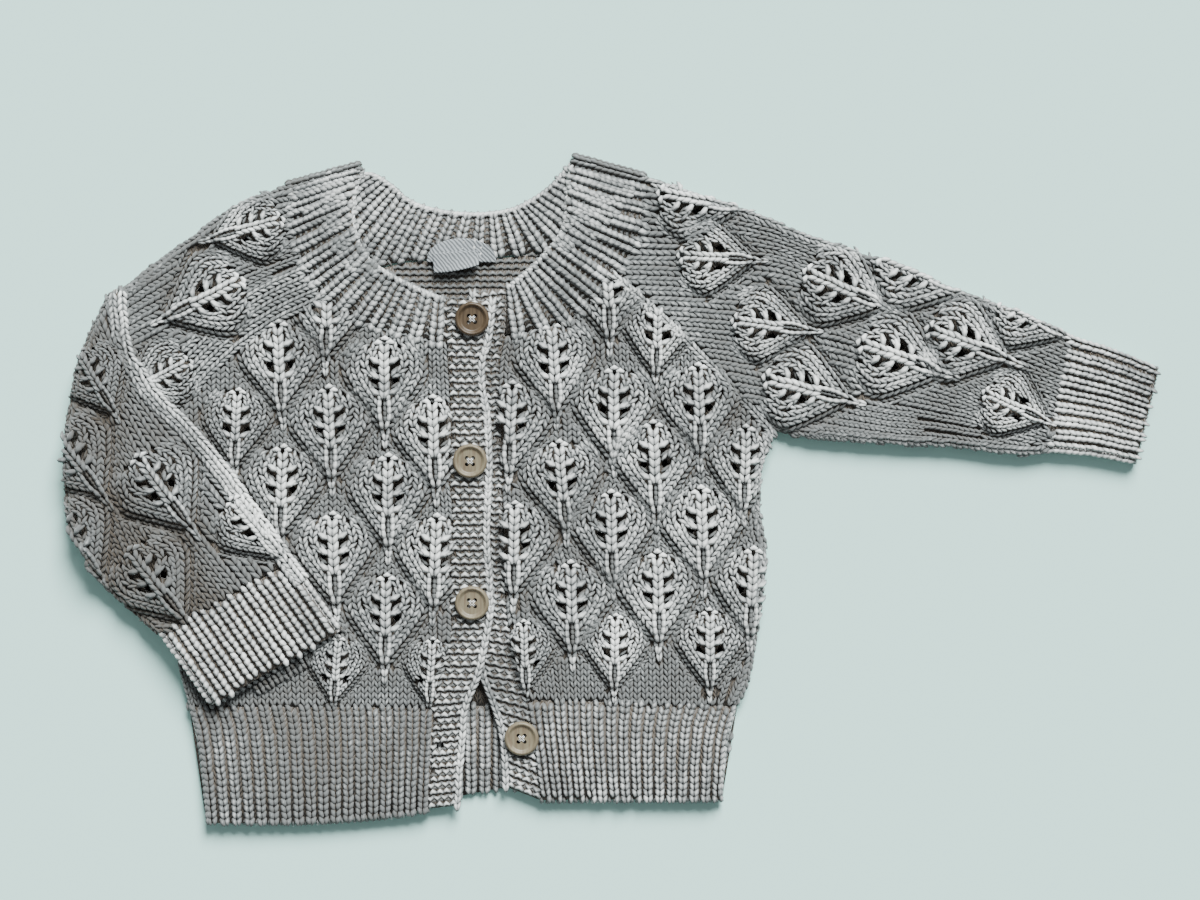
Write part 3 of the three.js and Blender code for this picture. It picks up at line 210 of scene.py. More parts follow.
height, shown = {}, {}
for name, z in raw.items():
    smooth = filled(z)
    for _ in range(2):
        smooth = np.where(np.isnan(smooth), smooth, np.nanmean(neighbours(np.nan_to_num(smooth, nan=0.0)), axis=0))
    height[name] = np.where(np.isnan(smooth), 0.0, smooth)
    others = np.nanmax(np.array([np.nan_to_num(o, nan=-9) for n, o in raw.items() if n != name]), axis=0)
    covered = others > height[name] + COVER
    for _ in range(3):
        covered = neighbours(covered).all(0)
    shown[name] = ~np.isnan(z) & ~covered
print({name: int(mask.sum()) for name, mask in shown.items()})

# %% [markdown]
# ## One loop of yarn
# A knitted loop shows as two plump legs, and a leg is a short spindle: it rises out of the cloth, swells, and
# dives under the next loop. Three rings of five points and two tips are enough for a leg this small. Thousands
# of legs are made at once as arrays of numbers, and joined to one mesh for each piece of cloth.

# %%
RING = np.linspace(0, 2 * np.pi, 5, endpoint=False) + np.pi / 2
STATIONS = [(0.19, 0.70), (0.5, 1.0), (0.81, 0.70)]
ROUND = [(a, (a + 1) % 5) for a in range(5)]
LEG_TIPS = [(15, b, a) for a, b in ROUND] + [(16, 10 + a, 10 + b) for a, b in ROUND]
LEG_SIDES = [(r + a, r + b, r + 5 + b, r + 5 + a) for r in (0, 5) for a, b in ROUND]
# Painted light and shade for each point of a ring and the two tips: the crest lighter, the flanks and ends darker, as
# they lie deep between the leg's neighbours
LEG_PAINTED_SHADE = np.array([
    *(0.3, -0.3, -1.3, -1.3, -0.3), *(0.65, 0.1, -1.2, -1.2, 0.1), *(0.15, -0.4, -1.4, -1.4, -0.4), -1.3, -1.7,
])
# How far over or under its middle a leg may reach, so that none is drawn down a steep edge
LEG_DROP = 1.4


def unit(v):
    return v / np.maximum(np.linalg.norm(v, axis=-1, keepdims=True), 1e-9)


def sample(grid, xy):
    """The grid's value at places given in mm, between its points."""
    at = np.clip(xy - LOW, 0, np.array(COUNT) - 1.001)
    i, j = at[..., 0].astype(int), at[..., 1].astype(int)
    u, v = at[..., 0] - i, at[..., 1] - j
    near = grid[i, j] * (1 - u) * (1 - v) + grid[i + 1, j] * u * (1 - v)
    return near + grid[i, j + 1] * (1 - u) * v + grid[i + 1, j + 1] * u * v


# Painted light and shade for each piece: how much lighter or darker than the rest it is drawn
PIECE_PAINTED_LIGHT = {
    "left_front": -0.1, "right_front": -0.1, "right_sleeve_front": -0.15, "right_sleeve_back": -0.4,
    "left_hem_rib": 0.05, "right_hem_rib": -0.3, "left_cuff": 0.4, "right_cuff": 0.45,
    "neckband": 0.1, "buttonhole_band": 0.3, "button_band": 0.1,
}


def painted_light_and_patches(node, xy):
    """The shade of the cloth at places on the plan: lighter and darker patches a hand wide, and the piece's own
    painted light and shade.
    """
    x, y = xy[:, 0], xy[:, 1]
    patches = 0.07 * np.sin(x / 17 + 1.3 * np.sin(y / 23)) + 0.05 * np.sin(y / 13 + x / 41)
    # painted light: the folded forearm is drawn lighter towards its inner edge and darker towards its outer one
    if node == "right_sleeve_back":
        patches = patches + np.clip((x + 0.62 * y + 205) / 60, -0.5, 0.8)
    return PIECE_PAINTED_LIGHT.get(node, 0.0) + patches


# Painted light and shade over the grid of a leaf panel, filled in with its relief: lighter on the blades, darker in
# the grooves
relief_painted_shade = {}


class Yarn:
    """The legs of one piece of cloth: start, middle and end of each in mm, which way is up, and its thickness."""

    def __init__(self, node):
        self.node = node
        self.points, self.ups, self.radii, self.shades = [], [], [], []

    def add(self, points, ups, radii, shades):
        self.points.append(points)
        self.ups.append(ups)
        self.radii.append(radii)
        self.shades.append(shades)

    def lay(self, xy, lift, radius, shade=0.0, everywhere=False):
        """Legs given on the plan, laid on the cloth. Those off the cloth or well under another piece are left out."""
        if not len(xy):
            return
        xy = xy + PLAN_SHIFT
        middle = xy[:, 1]
        cell = np.clip(np.round(middle - LOW).astype(int), 0, np.array(COUNT) - 1)
        keep = np.full(len(xy), True) if everywhere else shown[self.node][cell[:, 0], cell[:, 1]]
        xy, lift, radius, middle = xy[keep], lift[keep], radius[keep], middle[keep]
        grid = height[self.node]
        step = np.array([[1.0, 0.0], [0.0, 1.0]])
        slope = [(sample(grid, middle + s) - sample(grid, middle - s)) / 2 for s in step]
        up = unit(np.stack([-np.clip(slope[0], -1.5, 1.5), -np.clip(slope[1], -1.5, 1.5), np.ones(len(xy))], axis=-1))
        z = sample(grid, xy)
        z = z[:, 1:2] + np.clip(z - z[:, 1:2], -LEG_DROP, LEG_DROP)
        points = np.concatenate([xy, z[..., None]], axis=-1) + up[:, None] * lift[..., None]
        # painted light on the puffed blades and painted shade in the grooves
        relief_shade = sample(relief_painted_shade[self.node], middle) if self.node in relief_painted_shade else 0.0
        shades = shade + relief_shade + painted_light_and_patches(self.node, middle - PLAN_SHIFT) + random.normal(0, 0.10, len(xy))
        self.add(points, up, radius, shades)

    def mesh(self, name, material):
        points, up = np.concatenate(self.points), np.concatenate(self.ups)
        radius, shade = np.concatenate(self.radii), np.concatenate(self.shades)
        start, middle, end = points[:, 0], points[:, 1], points[:, 2]
        control = 2 * middle - (start + end) / 2
        rings = []
        for t, thick in STATIONS:
            centre = (1 - t) ** 2 * start + 2 * t * (1 - t) * control + t * t * end
            along = unit(2 * (1 - t) * (control - start) + 2 * t * (end - control))
            side = unit(np.cross(along, up))
            rise = np.cross(side, along)
            for angle in RING:
                off = np.cos(angle) * side + 0.9 * np.sin(angle) * rise
                rings.append(centre + (radius * thick)[:, None] * off)
        vertices = np.stack([*rings, start, end], axis=1)
        count = len(vertices)
        offset = np.arange(count)[:, None, None] * vertices.shape[1]
        quads = (np.array(LEG_SIDES)[None] + offset).reshape(-1, 4)
        tips = (np.array(LEG_TIPS)[None] + offset).reshape(-1, 3)
        piece = mesh_piece(name, vertices.reshape(-1, 3) * MM, quads, tips, material)
        # painted light and shade for each point of a leg, added to the leg's own shade
        painted_shade_attribute = piece.data.attributes.new("shade", "FLOAT", "POINT")
        painted_shade_attribute.data.foreach_set("value", (shade[:, None] + LEG_PAINTED_SHADE).ravel().astype(np.float32))
        print(f"{name}: {count} legs, {2 * len(quads) + len(tips)} triangles")
        return piece


def mesh_piece(name, vertices, quads, triangles, material):
    """An object from arrays of corners and faces, smooth shaded, with its place in its mesh."""
    mesh = bpy.data.meshes.new(name)
    corners = np.concatenate([np.ravel(quads), np.ravel(triangles)]).astype(np.int32)
    sizes = np.concatenate([np.full(len(quads), 4), np.full(len(triangles), 3)])
    mesh.vertices.add(len(vertices))
    mesh.vertices.foreach_set("co", np.ravel(vertices).astype(np.float32))
    mesh.loops.add(len(corners))
    mesh.loops.foreach_set("vertex_index", corners)
    mesh.polygons.add(len(sizes))
    mesh.polygons.foreach_set("loop_start", np.concatenate([[0], np.cumsum(sizes)[:-1]]).astype(np.int32))
    mesh.polygons.foreach_set("use_smooth", np.ones(len(sizes), bool))
    mesh.update(calc_edges=True)
    mesh.materials.append(material)
    piece = bpy.data.objects.new(name, mesh)
    bpy.context.scene.collection.objects.link(piece)
    return piece


# %% [markdown]
# ## Kinds of stitch
# A knit stitch is a V of two legs. A purl stitch, which is the back of a knit one, is a bump that lies across.
# No two hand-made loops are the same, so each is nudged, turned and resized a little by a seeded generator.

# %%


def turned(v, angle):
    c, s = np.cos(angle)[:, None], np.sin(angle)[:, None]
    return np.concatenate([v[:, :1] * c - v[:, 1:] * s, v[:, :1] * s + v[:, 1:] * c], axis=1)


def crosswise(along):
    return np.stack([along[:, 1], -along[:, 0]], axis=1)


def vees(at, along, width, length, lift=0.0, plump=0.205, spread=0.46, foot=0.04):
    """The two legs of each V, which opens the way that the column runs, from foot to spread beside its middle."""
    n = len(at)
    width, length = np.broadcast_to(width, n), np.broadcast_to(length, n)
    at = at + random.normal(0, 0.10, (n, 2))
    along = turned(along, random.normal(0, 0.06, n))
    side = crosswise(along)
    legs, lifts, radii = [], [], []
    for way in (-1, 1):
        grow = random.normal(1, 0.06, n)
        steps = [(-0.90, foot, -0.25), (-0.02, (foot + spread) / 2, 0.50), (0.82, spread, -1.0)]
        leg = [at + along * (length * a)[:, None] + side * (width * way * b)[:, None] for a, b, _ in steps]
        legs.append(np.stack(leg, axis=1))
        lifts.append(np.tile([c for _, _, c in steps], (n, 1)) + lift)
        radii.append(width * plump * grow)
    return np.concatenate(legs), np.concatenate(lifts), np.concatenate(radii)


def bumps(at, along, width, length, lift=0.0, plump=0.85, arch=0.3):
    """Purl bumps: short legs across the column, arched up it."""
    n = len(at)
    width = np.broadcast_to(width, n) * random.normal(1, 0.06, n)
    at = at + random.normal(0, 0.10, (n, 2))
    side = crosswise(turned(along, random.normal(0, 0.08, n)))
    steps = [(-0.56, -arch, -0.6), (0, arch, 0.15), (0.56, -arch, -0.6)]
    leg = [at + side * (width * a)[:, None] + along * (length * b) for a, b, _ in steps]
    lifts = np.tile([c for _, _, c in steps], (n, 1)) + lift
    return np.stack(leg, axis=1), lifts, np.full(n, plump) * random.normal(1, 0.06, n)


def spaced(line, count=None, spacing=None):
    """Places at equal steps along a line through the points, and which way it runs there."""
    line = np.array(line, float)
    fine = rounded(line)
    lengths = np.concatenate([[0], np.cumsum(np.linalg.norm(np.diff(fine, axis=0), axis=1))])
    count = count or max(2, int(round(lengths[-1] / spacing)) + 1)
    goals = np.linspace(0, lengths[-1], count)
    places = np.stack([np.interp(goals, lengths, fine[:, k]) for k in (0, 1)], axis=1)
    return places, unit(np.gradient(places, axis=0))


def rounded(line, steps=8):
    """A smooth line through the points."""
    padded = np.concatenate([[2 * line[0] - line[1]], line, [2 * line[-1] - line[-2]]])
    out = []
    for a, b, c, d in zip(padded[:-3], padded[1:-2], padded[2:-1], padded[3:]):
        t = np.linspace(0, 1, steps, endpoint=False)[:, None]
        out.append(0.5 * (2 * b + (c - a) * t + (2 * a - 5 * b + 4 * c - d) * t**2 + (3 * b - a - 3 * c + d) * t**3))
    return np.concatenate([*out, line[-1:]])


# %% [markdown]
# ## Columns of stitches
# Columns run between the guide lines and share out the width between them. Where guides draw together there
# isn't room for every column, and one that would crowd the last is left out, as a knitter works two together.

# %%


def columns(guides, pitch, row):
    """Centres of the stitches, the way each column runs, and each stitch's width and length."""
    lengths = [np.linalg.norm(np.diff(np.array(g, float), axis=0), axis=1).sum() for g in guides]
    rows = int(np.mean(lengths) / row)
    lines = np.array([spaced(g, count=rows)[0] for g in guides])
    across = []
    for a, b in zip(lines[:-1], lines[1:]):
        n = max(1, int(round(np.linalg.norm(a - b, axis=1).mean() / pitch)))
        across += [a + (b - a) * k / n for k in range(n)]
    across = np.array([*across, lines[-1]])
    along = unit(np.gradient(across, axis=1))
    step = np.linalg.norm(np.gradient(across, axis=1), axis=2)
    gap = np.linalg.norm(np.diff(across, axis=0), axis=2)
    keep = np.full(across.shape[:2], True)
    for r in range(rows):
        last = 0
        for k in range(1, len(across)):
            keep[k, r] = np.linalg.norm(across[k, r] - across[last, r]) > 0.7 * pitch
            if keep[k, r]:
                last = k
    place = np.cumsum(np.concatenate([np.zeros((1, rows)), gap]), axis=0)
    width = np.clip(np.gradient(place, axis=0), 0.8 * pitch, 1.25 * pitch)
    return across[keep], along[keep], width[keep], step[keep]


# %% [markdown]
# ## The leaf
# The lace pattern is one leaf, over and over. A centre vein of raised Vs ends in a knot, two columns curve out
# round each side of the blade, short branches leave eyelets beside the vein, and a stem of two thick strands
# runs down to a point. It is drawn once, in millimetres from the fork of the stem, and laid on each place. The
# cloth under it puffs up in the blade and sinks along the two grooves.

# %%
LEAF_TOP, LEAF_FOOT = 24.5, -25.0
# Half the width that the leaf and the chain beside it take, at heights over the fork
BLADE = np.array([
    (-26, 0.0), (-25, 1.4), (-19, 2.6), (-16.4, 4.8), (-6.9, 11.8), (2.6, 18.2),
    (8, 20.4), (12, 19.4), (20, 16.6), (24.5, 10), (25.8, 4), (26.2, 0),
])
# How far the groove lies within that, at heights over the fork
GROOVE = np.array([(-16, 2.0), (2, 2.7), (10, 1.2), (24.5, 0.8)])
# The whole panel rises, the blades puff up and the grooves sink, in mm, and both change the painted shade: the blades
# are drawn lighter and the grooves darker
RAISE, PUFF, SINK, PUFF_PAINTED_LIGHT, SINK_PAINTED_SHADE = 1.0, 2.6, 1.5, 0.22, 0.55
# Columns of the blade, on one side: line, width and lift. The short branches leave an eyelet under each.
LEAF_CURVES = [
    ([(2.0, -13.6), (8.4, -4.3), (14.4, 5.2), (16.8, 10.5), (17.0, 15.5), (15.2, 20.5), (11.6, 24.8)], 4.3, 0.5),
    ([(2.9, -6.5), (7.6, 0.6), (11.2, 6.8), (12.9, 12), (12.6, 17.5), (9.6, 23.6)], 4.2, 0.45),
    ([(5.4, 1.6), (8.0, 5.0), (9.3, 9.6)], 3.7, 0.4),
    ([(5.0, 9.8), (8.0, 12.4), (8.8, 16.2), (7.2, 21.6)], 4.0, 0.6),
    ([(4.4, 17.4), (5.1, 20.2), (4.2, 23.2)], 3.6, 0.65),
]
# The chain that edges the ground beyond the groove
LEAF_EDGE = ([(5.4, -16.4), (11.8, -6.9), (18.1, 2.6), (20.6, 7.4)], 3.4, -0.1)


def leaf_axes(leaf):
    """A leaf's tip, scale, the way up it, the way across it, and how wide it is pulled."""
    tip, end = np.array(leaf[0], float), np.array(leaf[1], float)
    up = unit(tip - end)
    return tip, np.linalg.norm(tip - end) / (LEAF_TOP - LEAF_FOOT), up, np.array([up[1], -up[0]]), leaf[2]


def in_leaf(leaf, xy):
    """Places in a leaf's own measures: aside and up."""
    tip, scale, up, across, wide = leaf_axes(leaf)
    away = (xy - tip) / scale
    return away @ across / wide, LEAF_TOP + away @ up


def half_blade(up):
    return np.interp(up, BLADE[:, 0], BLADE[:, 1], left=-9, right=-9)


def off_leaves(leaves, xy, margin=0.3):
    keep = np.full(len(xy), True)
    for leaf in leaves:
        aside, up = in_leaf(leaf, xy)
        keep &= np.abs(aside) > half_blade(up) + margin
    return keep


def leaf_legs():
    """The leaf's legs in its own measures: flat places, lifts, thicknesses and shades."""
    # The shades are painted light and shade: the raised vein, branches, stem and knot drawn lighter, the legs under
    # the branches and in the stem's slit darker
    found = []
    at, along = spaced([(0, 0.5), (0, 22.5)], count=7)
    found.append((*vees(at, along, 5.8, 3.6, lift=1.45, plump=0.24, spread=0.36), 0.45))
    for way in (-1, 1):
        for fork in (0.4, 8.0, 15.4):
            branch = np.array([[(1.4 * way, fork), (4.0 * way, fork + 0.9), (7.0 * way, fork + 3.6)]])
            found.append((branch, np.array([[0.6, 1.5, -0.2]]), np.array([1.6]), 0.45))
            under = np.array([[(2.6 * way, fork + 2.4), (4.4 * way, fork + 3.8), (6.8 * way, fork + 6.2)]])
            found.append((under, np.array([[-1.1, -0.5, -0.9]]), np.array([0.9]), -0.5))
    for line, width, lift in LEAF_CURVES:
        for way in (-1, 1):
            at, along = spaced(np.array(line) * (way, 1), spacing=3.1)
            found.append((*vees(at, along, width, 3.1, lift=lift, plump=0.245), 0.15))
    knot = np.array([(0.2, 25.8), (-2.5, 23.9), (2.4, 24.2)])
    found.append((*bumps(knot, np.tile((0.0, 1.0), (3, 1)), 3.4, 2.0, lift=1.6, plump=1.5), 0.8))
    for way in (-1, 1):
        line = np.array([(1.5 * way, 2.0), (1.9 * way, -3), (1.95 * way, -8), (1.1 * way, -14)])
        fine = spaced(line, count=6)[0]
        legs = np.stack([fine[0:-2], fine[1:-1], fine[2:]], axis=1)
        found.append((legs, np.tile([0.2, 1.35, 0.3], (len(legs), 1)), np.full(len(legs), 1.3), 0.5))
    slit = np.array([[(0.0, top), (0.3, top - 2.2), (0.0, top - 4.4)] for top in (2.4, 0.0, -2.4, -4.8, -7.2, -9.6)])
    found.append((slit, np.tile([-0.5, 0.1, -0.5], (6, 1)), np.full(6, 1.1), -0.5))
    at, along = spaced([(0, -24), (0, -14)], count=4)
    found.append((*vees(at, along, np.array([3.1, 3.6, 4.1, 4.5]), 3.3, lift=0.9, plump=0.28, spread=0.34), 0.5))
    return found


def lay_leaf(yarn, leaf, others):
    tip, scale, up, across, wide = leaf_axes(leaf)

    def on_plan(legs):
        return tip + scale * (legs[..., :1] * across * wide + (legs[..., 1:] - LEAF_TOP) * up)

    for legs, lifts, radii, shade in leaf_legs():
        yarn.lay(on_plan(legs), lifts, radii * scale, shade)
    line, width, lift = LEAF_EDGE
    for way in (-1, 1):
        at, along = spaced(np.array(line) * (way, 1), spacing=2.75)
        legs, lifts, radii = vees(at, along, width, 2.75, lift=lift, plump=0.24)
        legs = on_plan(legs)
        keep = off_leaves(others, legs[:, 1], margin=-3.0)
        # painted shade: the chain beside the groove drawn a little darker
        yarn.lay(legs[keep], lifts[keep], radii[keep] * scale, -0.1)


def relief(leaves):
    """Grids of how far each blade puffs up, in mm, and of how deep its two grooves are, from 0 to 1."""
    i, j = np.meshgrid(np.arange(COUNT[0]), np.arange(COUNT[1]), indexing="ij")
    xy = np.stack([LOW[0] + i, LOW[1] + j], axis=-1) - PLAN_SHIFT
    blades, grooves = np.zeros(COUNT), np.zeros(COUNT)
    for leaf in leaves:
        aside, up = in_leaf(leaf, xy)
        within = (half_blade(up) - np.interp(up, GROOVE[:, 0], GROOVE[:, 1]) - np.abs(aside)) * 0.83
        puff = PUFF * (1 - np.exp(-np.maximum(within, 0) / 3.5)) * np.clip((up + 26) / 14, 0, 1)
        blades = np.maximum(blades, puff)
        grooves = np.maximum(grooves, np.where((up > -20) & (up < 20), np.exp(-((within / 2.0) ** 2)), 0))
    return blades, grooves


for name, leaves in LEAVES.items():
    blades, grooves = relief(leaves)
    height[name] = height[name] + RAISE + blades - SINK * grooves
    # painted light on the puffed blades and painted shade in the sunk grooves
    relief_painted_shade[name] = PUFF_PAINTED_LIGHT * blades / PUFF - SINK_PAINTED_SHADE * grooves

# %% [markdown]
# ## Wool
# The yarn is undyed and matt. Its colour is painted light and shade: pale cream on the crests, a cooler grey on the
# flanks and brown in the depths, from each leg's shade attribute, and a fine noise stands for fibres too small to
# model.

# %%
WOOLLY = {"Roughness": 0.95, "Specular IOR Level": 0.15, "Sheen Weight": 0.25, "Sheen Roughness": 0.6}


def new_material(name, settings):
    """A material with its shader's own inputs set, its nodes and links, and the shader."""
    material = bpy.data.materials.new(name)
    material.use_nodes = True
    nodes, links = material.node_tree.nodes, material.node_tree.links
    shader = nodes["Principled BSDF"]
    for socket, value in settings.items():
        shader.inputs[socket].default_value = value
    return material, nodes, links, shader


def new_node(nodes, kind, **inputs):
    node = nodes.new(kind)
    for socket, value in inputs.items():
        node.inputs[socket].default_value = value
    return node


def new_ramp(nodes, *stops):
    """A colour ramp with the given places and colours: its two ends, and then any between."""
    ramp = nodes.new("ShaderNodeValToRGB")
    ends = ramp.color_ramp.elements
    ends[0].position, ends[0].color = stops[0][0], (*stops[0][1], 1)
    ends[1].position, ends[1].color = stops[1][0], (*stops[1][1], 1)
    for position, colour in stops[2:]:
        ends.new(position).color = (*colour, 1)
    return ramp


def new_bump(nodes, links, shader, height_socket, strength, distance):
    rough = new_node(nodes, "ShaderNodeBump", Strength=strength, Distance=distance)
    links.new(height_socket, rough.inputs["Height"])
    links.new(rough.outputs["Normal"], shader.inputs["Normal"])


def wool(name, light, medium, dark):
    material, nodes, links, shader = new_material(name, WOOLLY)
    place = nodes.new("ShaderNodeTexCoord")
    noise = new_node(nodes, "ShaderNodeTexNoise", Scale=45.0, Detail=3.0)
    shade = nodes.new("ShaderNodeAttribute")
    shade.attribute_name = "shade"
    weak = nodes.new("ShaderNodeMath")
    weak.operation = "MULTIPLY_ADD"
    weak.inputs[1].default_value, weak.inputs[2].default_value = 0.45, 0.28
    total = nodes.new("ShaderNodeMath")
    total.operation = "MULTIPLY_ADD"
    total.inputs[1].default_value = 0.32
    # painted light and shade: the ramp runs from brown depths through grey flanks to cream crests
    ramp = new_ramp(nodes, (0.12, dark), (1.0, light), (0.6, medium))
    links.new(place.outputs["Object"], noise.inputs["Vector"])
    links.new(shade.outputs["Fac"], total.inputs[0])
    links.new(noise.outputs["Fac"], weak.inputs[0])
    links.new(weak.outputs[0], total.inputs[2])
    links.new(total.outputs[0], ramp.inputs["Fac"])
    links.new(ramp.outputs["Color"], shader.inputs["Base Color"])
    fibre = new_node(nodes, "ShaderNodeTexNoise", Scale=900.0, Detail=4.0)
    links.new(place.outputs["Object"], fibre.inputs["Vector"])
    new_bump(nodes, links, shader, fibre.outputs["Fac"], 0.25, 0.0006)
    return material


yarn_wool = wool("wool yarn", light=(0.95, 0.95, 0.92), medium=(0.142, 0.150, 0.150), dark=(0.046, 0.036, 0.026))

# %% [markdown]
# ## Shells
# Each piece of cloth has a thin shell under its yarn. It is a copy of the frame's wall, which already has the
# cloth's folds, openings and thickness, with its double points merged so that it shades smoothly. Its faces under
# the yarn are painted shade: a flat dark brown for the gaps between loops. Its edges and underside have no yarn,
# so there the material draws the same Vs as a bump, with painted shade in their hollows: a column is a strip of x,
# and its legs slope up from the strip's middle.

# %%
GROUND_STITCH, GROUND_ROW = 0.0037, 0.00275  # in metres, as a material measures


def link_math(nodes, links, operation, a, b=0.0):
    """The output of a math node on two values or sockets."""
    node = nodes.new("ShaderNodeMath")
    node.operation = operation
    for socket, value in zip(node.inputs, (a, b)):
        if isinstance(value, (int, float)):
            socket.default_value = value
        else:
            links.new(value, socket)
    return node.outputs[0]


def knit_ground():
    material, nodes, links, shader = new_material("wool ground", WOOLLY)

    def math_(operation, a, b=0.0):
        return link_math(nodes, links, operation, a, b)

    place = nodes.new("ShaderNodeTexCoord")
    wander = new_node(nodes, "ShaderNodeTexNoise", Scale=14.0)
    apart = nodes.new("ShaderNodeSeparateXYZ")
    links.new(place.outputs["Object"], wander.inputs["Vector"])
    links.new(place.outputs["Object"], apart.inputs["Vector"])
    drift = math_("MULTIPLY", wander.outputs["Fac"], 0.012)
    column = math_("FRACT", math_("DIVIDE", math_("ADD", apart.outputs["X"], drift), GROUND_STITCH))
    aside = math_("ABSOLUTE", math_("SUBTRACT", column, 0.5))
    rows = math_("DIVIDE", math_("ADD", apart.outputs["Y"], apart.outputs["Z"]), GROUND_ROW)
    climb = math_("SUBTRACT", rows, math_("MULTIPLY", aside, 2.2))
    leg = math_("SINE", math_("MULTIPLY", math_("FRACT", climb), math.pi))
    plump = math_("SINE", math_("MULTIPLY", aside, 2 * math.pi))
    relief = math_("POWER", math_("MULTIPLY", leg, plump), 0.6)
    # painted shade: the hollows of the bump are coloured dark brown, its crests light
    ramp = new_ramp(nodes, (0.0, (0.06, 0.048, 0.036)), (0.75, (0.56, 0.55, 0.53)))
    links.new(relief, ramp.inputs["Fac"])
    # painted shade: faces under the yarn take a flat dark brown for the gaps between loops
    gap_shade_node = nodes.new("ShaderNodeAttribute")
    gap_shade_node.attribute_name = "under_yarn"
    colour = nodes.new("ShaderNodeMix")
    colour.data_type = "RGBA"
    colour.inputs["B"].default_value = (0.085, 0.066, 0.047, 1)
    links.new(gap_shade_node.outputs["Fac"], colour.inputs["Factor"])
    links.new(ramp.outputs["Color"], colour.inputs["A"])
    links.new(colour.outputs["Result"], shader.inputs["Base Color"])
    new_bump(nodes, links, shader, relief, 1.0, 0.0011)
    return material


ground_wool = knit_ground()


def only(piece):
    bpy.ops.object.select_all(action="DESELECT")
    piece.select_set(True)
    bpy.context.view_layer.objects.active = piece


def shell(name):
    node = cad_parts[name]
    piece = node.copy()
    piece.data = node.data.copy()
    piece.name = piece.data.name = f"{name}_cloth"
    piece.parent = None
    bpy.context.scene.collection.objects.link(piece)
    only(piece)
    bpy.ops.object.mode_set(mode="EDIT")
    bpy.ops.mesh.select_all(action="SELECT")
    bpy.ops.mesh.remove_doubles(threshold=0.00002)
    bpy.ops.object.mode_set(mode="OBJECT")
    bpy.ops.object.shade_smooth()
    piece.data.materials.clear()
    piece.data.materials.append(ground_wool)
    # painted shade mask: faces that face up, which the yarn covers
    covered = piece.data.attributes.new("under_yarn", "FLOAT", "FACE")
    covered.data.foreach_set("value", [float(face.normal.z > 0.8) for face in piece.data.polygons])
    return piece


shells = {name: shell(name) for name in CLOTH}


# %% [markdown]
# ## The lace panels and sleeves
# Plain columns fill the ground between the leaves, and the leaves go on top.

# %%
STITCH, ROW = 3.9, 2.85
# Room beside each seam for the columns that run along it
SEAM_ROOM = {"left_front": 3.4, "right_sleeve_front": 20.0}
# The sleeves' stitches are pulled wider, and half as much longer
SLEEVE_LOOSE = 1.22
yarns = {name: Yarn(name) for name in CLOTH}


def far_from(line, at, distance):
    fine = rounded(np.array(line, float))
    return np.min(np.linalg.norm(at[:, None] - fine[None], axis=2), axis=1) > distance


def plain(name, guides, leaves, pitch, row):
    at, along, width, length = columns(guides, pitch, row)
    keep = off_leaves(leaves, at)
    if name in SEAM_ROOM:
        keep &= far_from(RAGLANS[name.replace("sleeve_", "")], at, SEAM_ROOM[name])
    at, along, width, length = at[keep], along[keep], width[keep], length[keep]
    # painted shade: the plain ground drawn a little darker than the raised blades
    yarns[name].lay(*vees(at, along, width, length, plump=0.225), shade=-0.15)


for name, guides in GUIDES.items():
    loose = SLEEVE_LOOSE if "sleeve" in name else 1.0
    plain(name, guides, LEAVES[name], STITCH * loose, ROW * (0.5 + 0.5 * loose))
    for leaf in LEAVES[name]:
        lay_leaf(yarns[name], leaf, [other for other in LEAVES[name] if other is not leaf])

# %% [markdown]
# ## Ribs
# Rib knitting is a column of Vs that stands up, then a furrow where small purl bumps show.

# %%


def ribs(name, left, right, count, row=3.0, sag=0.0, rolled=(False, False)):
    """Ribs from one line to another, each line running along the ribs from its free edge."""
    rows = int(np.linalg.norm(np.subtract(left[-1], left[0])) / row)
    a, b = spaced(left, count=rows)[0], spaced(right, count=rows)[0]
    shares = [(k + 0.5) / count for k in range(count)]
    # Where the cloth rolls under at a side, half a rib more shows at its edge
    shares += [-0.06 / count] * rolled[0] + [1 + 0.06 / count] * rolled[1]
    for share in shares:
        at = a + (b - a) * share
        along = unit(np.gradient(at, axis=0))
        at = at - along * (sag * 4 * share * (1 - share) * np.linspace(1, 0, rows) ** 2)[:, None]
        width = np.linalg.norm(b - a, axis=1) / count * 0.93
        yarns[name].lay(*vees(at, along, width, row, lift=0.35, plump=0.215, foot=0.14, spread=0.33), shade=0.1)


def edge_loops(name, line, spacing, out, depth, radius=1.25):
    """Loops over the free edge of a piece, from its top round to its underside."""
    at, along = spaced(line, spacing=spacing)
    side = crosswise(along) * out
    top = sample(height[name], at - 2.2 * side + PLAN_SHIFT)
    steps = [(-2.2, top), (0.7, top - 0.45 * depth), (-1.4, top - depth)]
    legs = [np.column_stack([at + side * away + PLAN_SHIFT, z]) for away, z in steps]
    count = len(at)
    ups = unit(np.column_stack([side, np.full(count, 0.5)]))
    yarns[name].add(np.stack(legs, axis=1), ups, np.full(count, radius), random.normal(-0.1, 0.2, count))


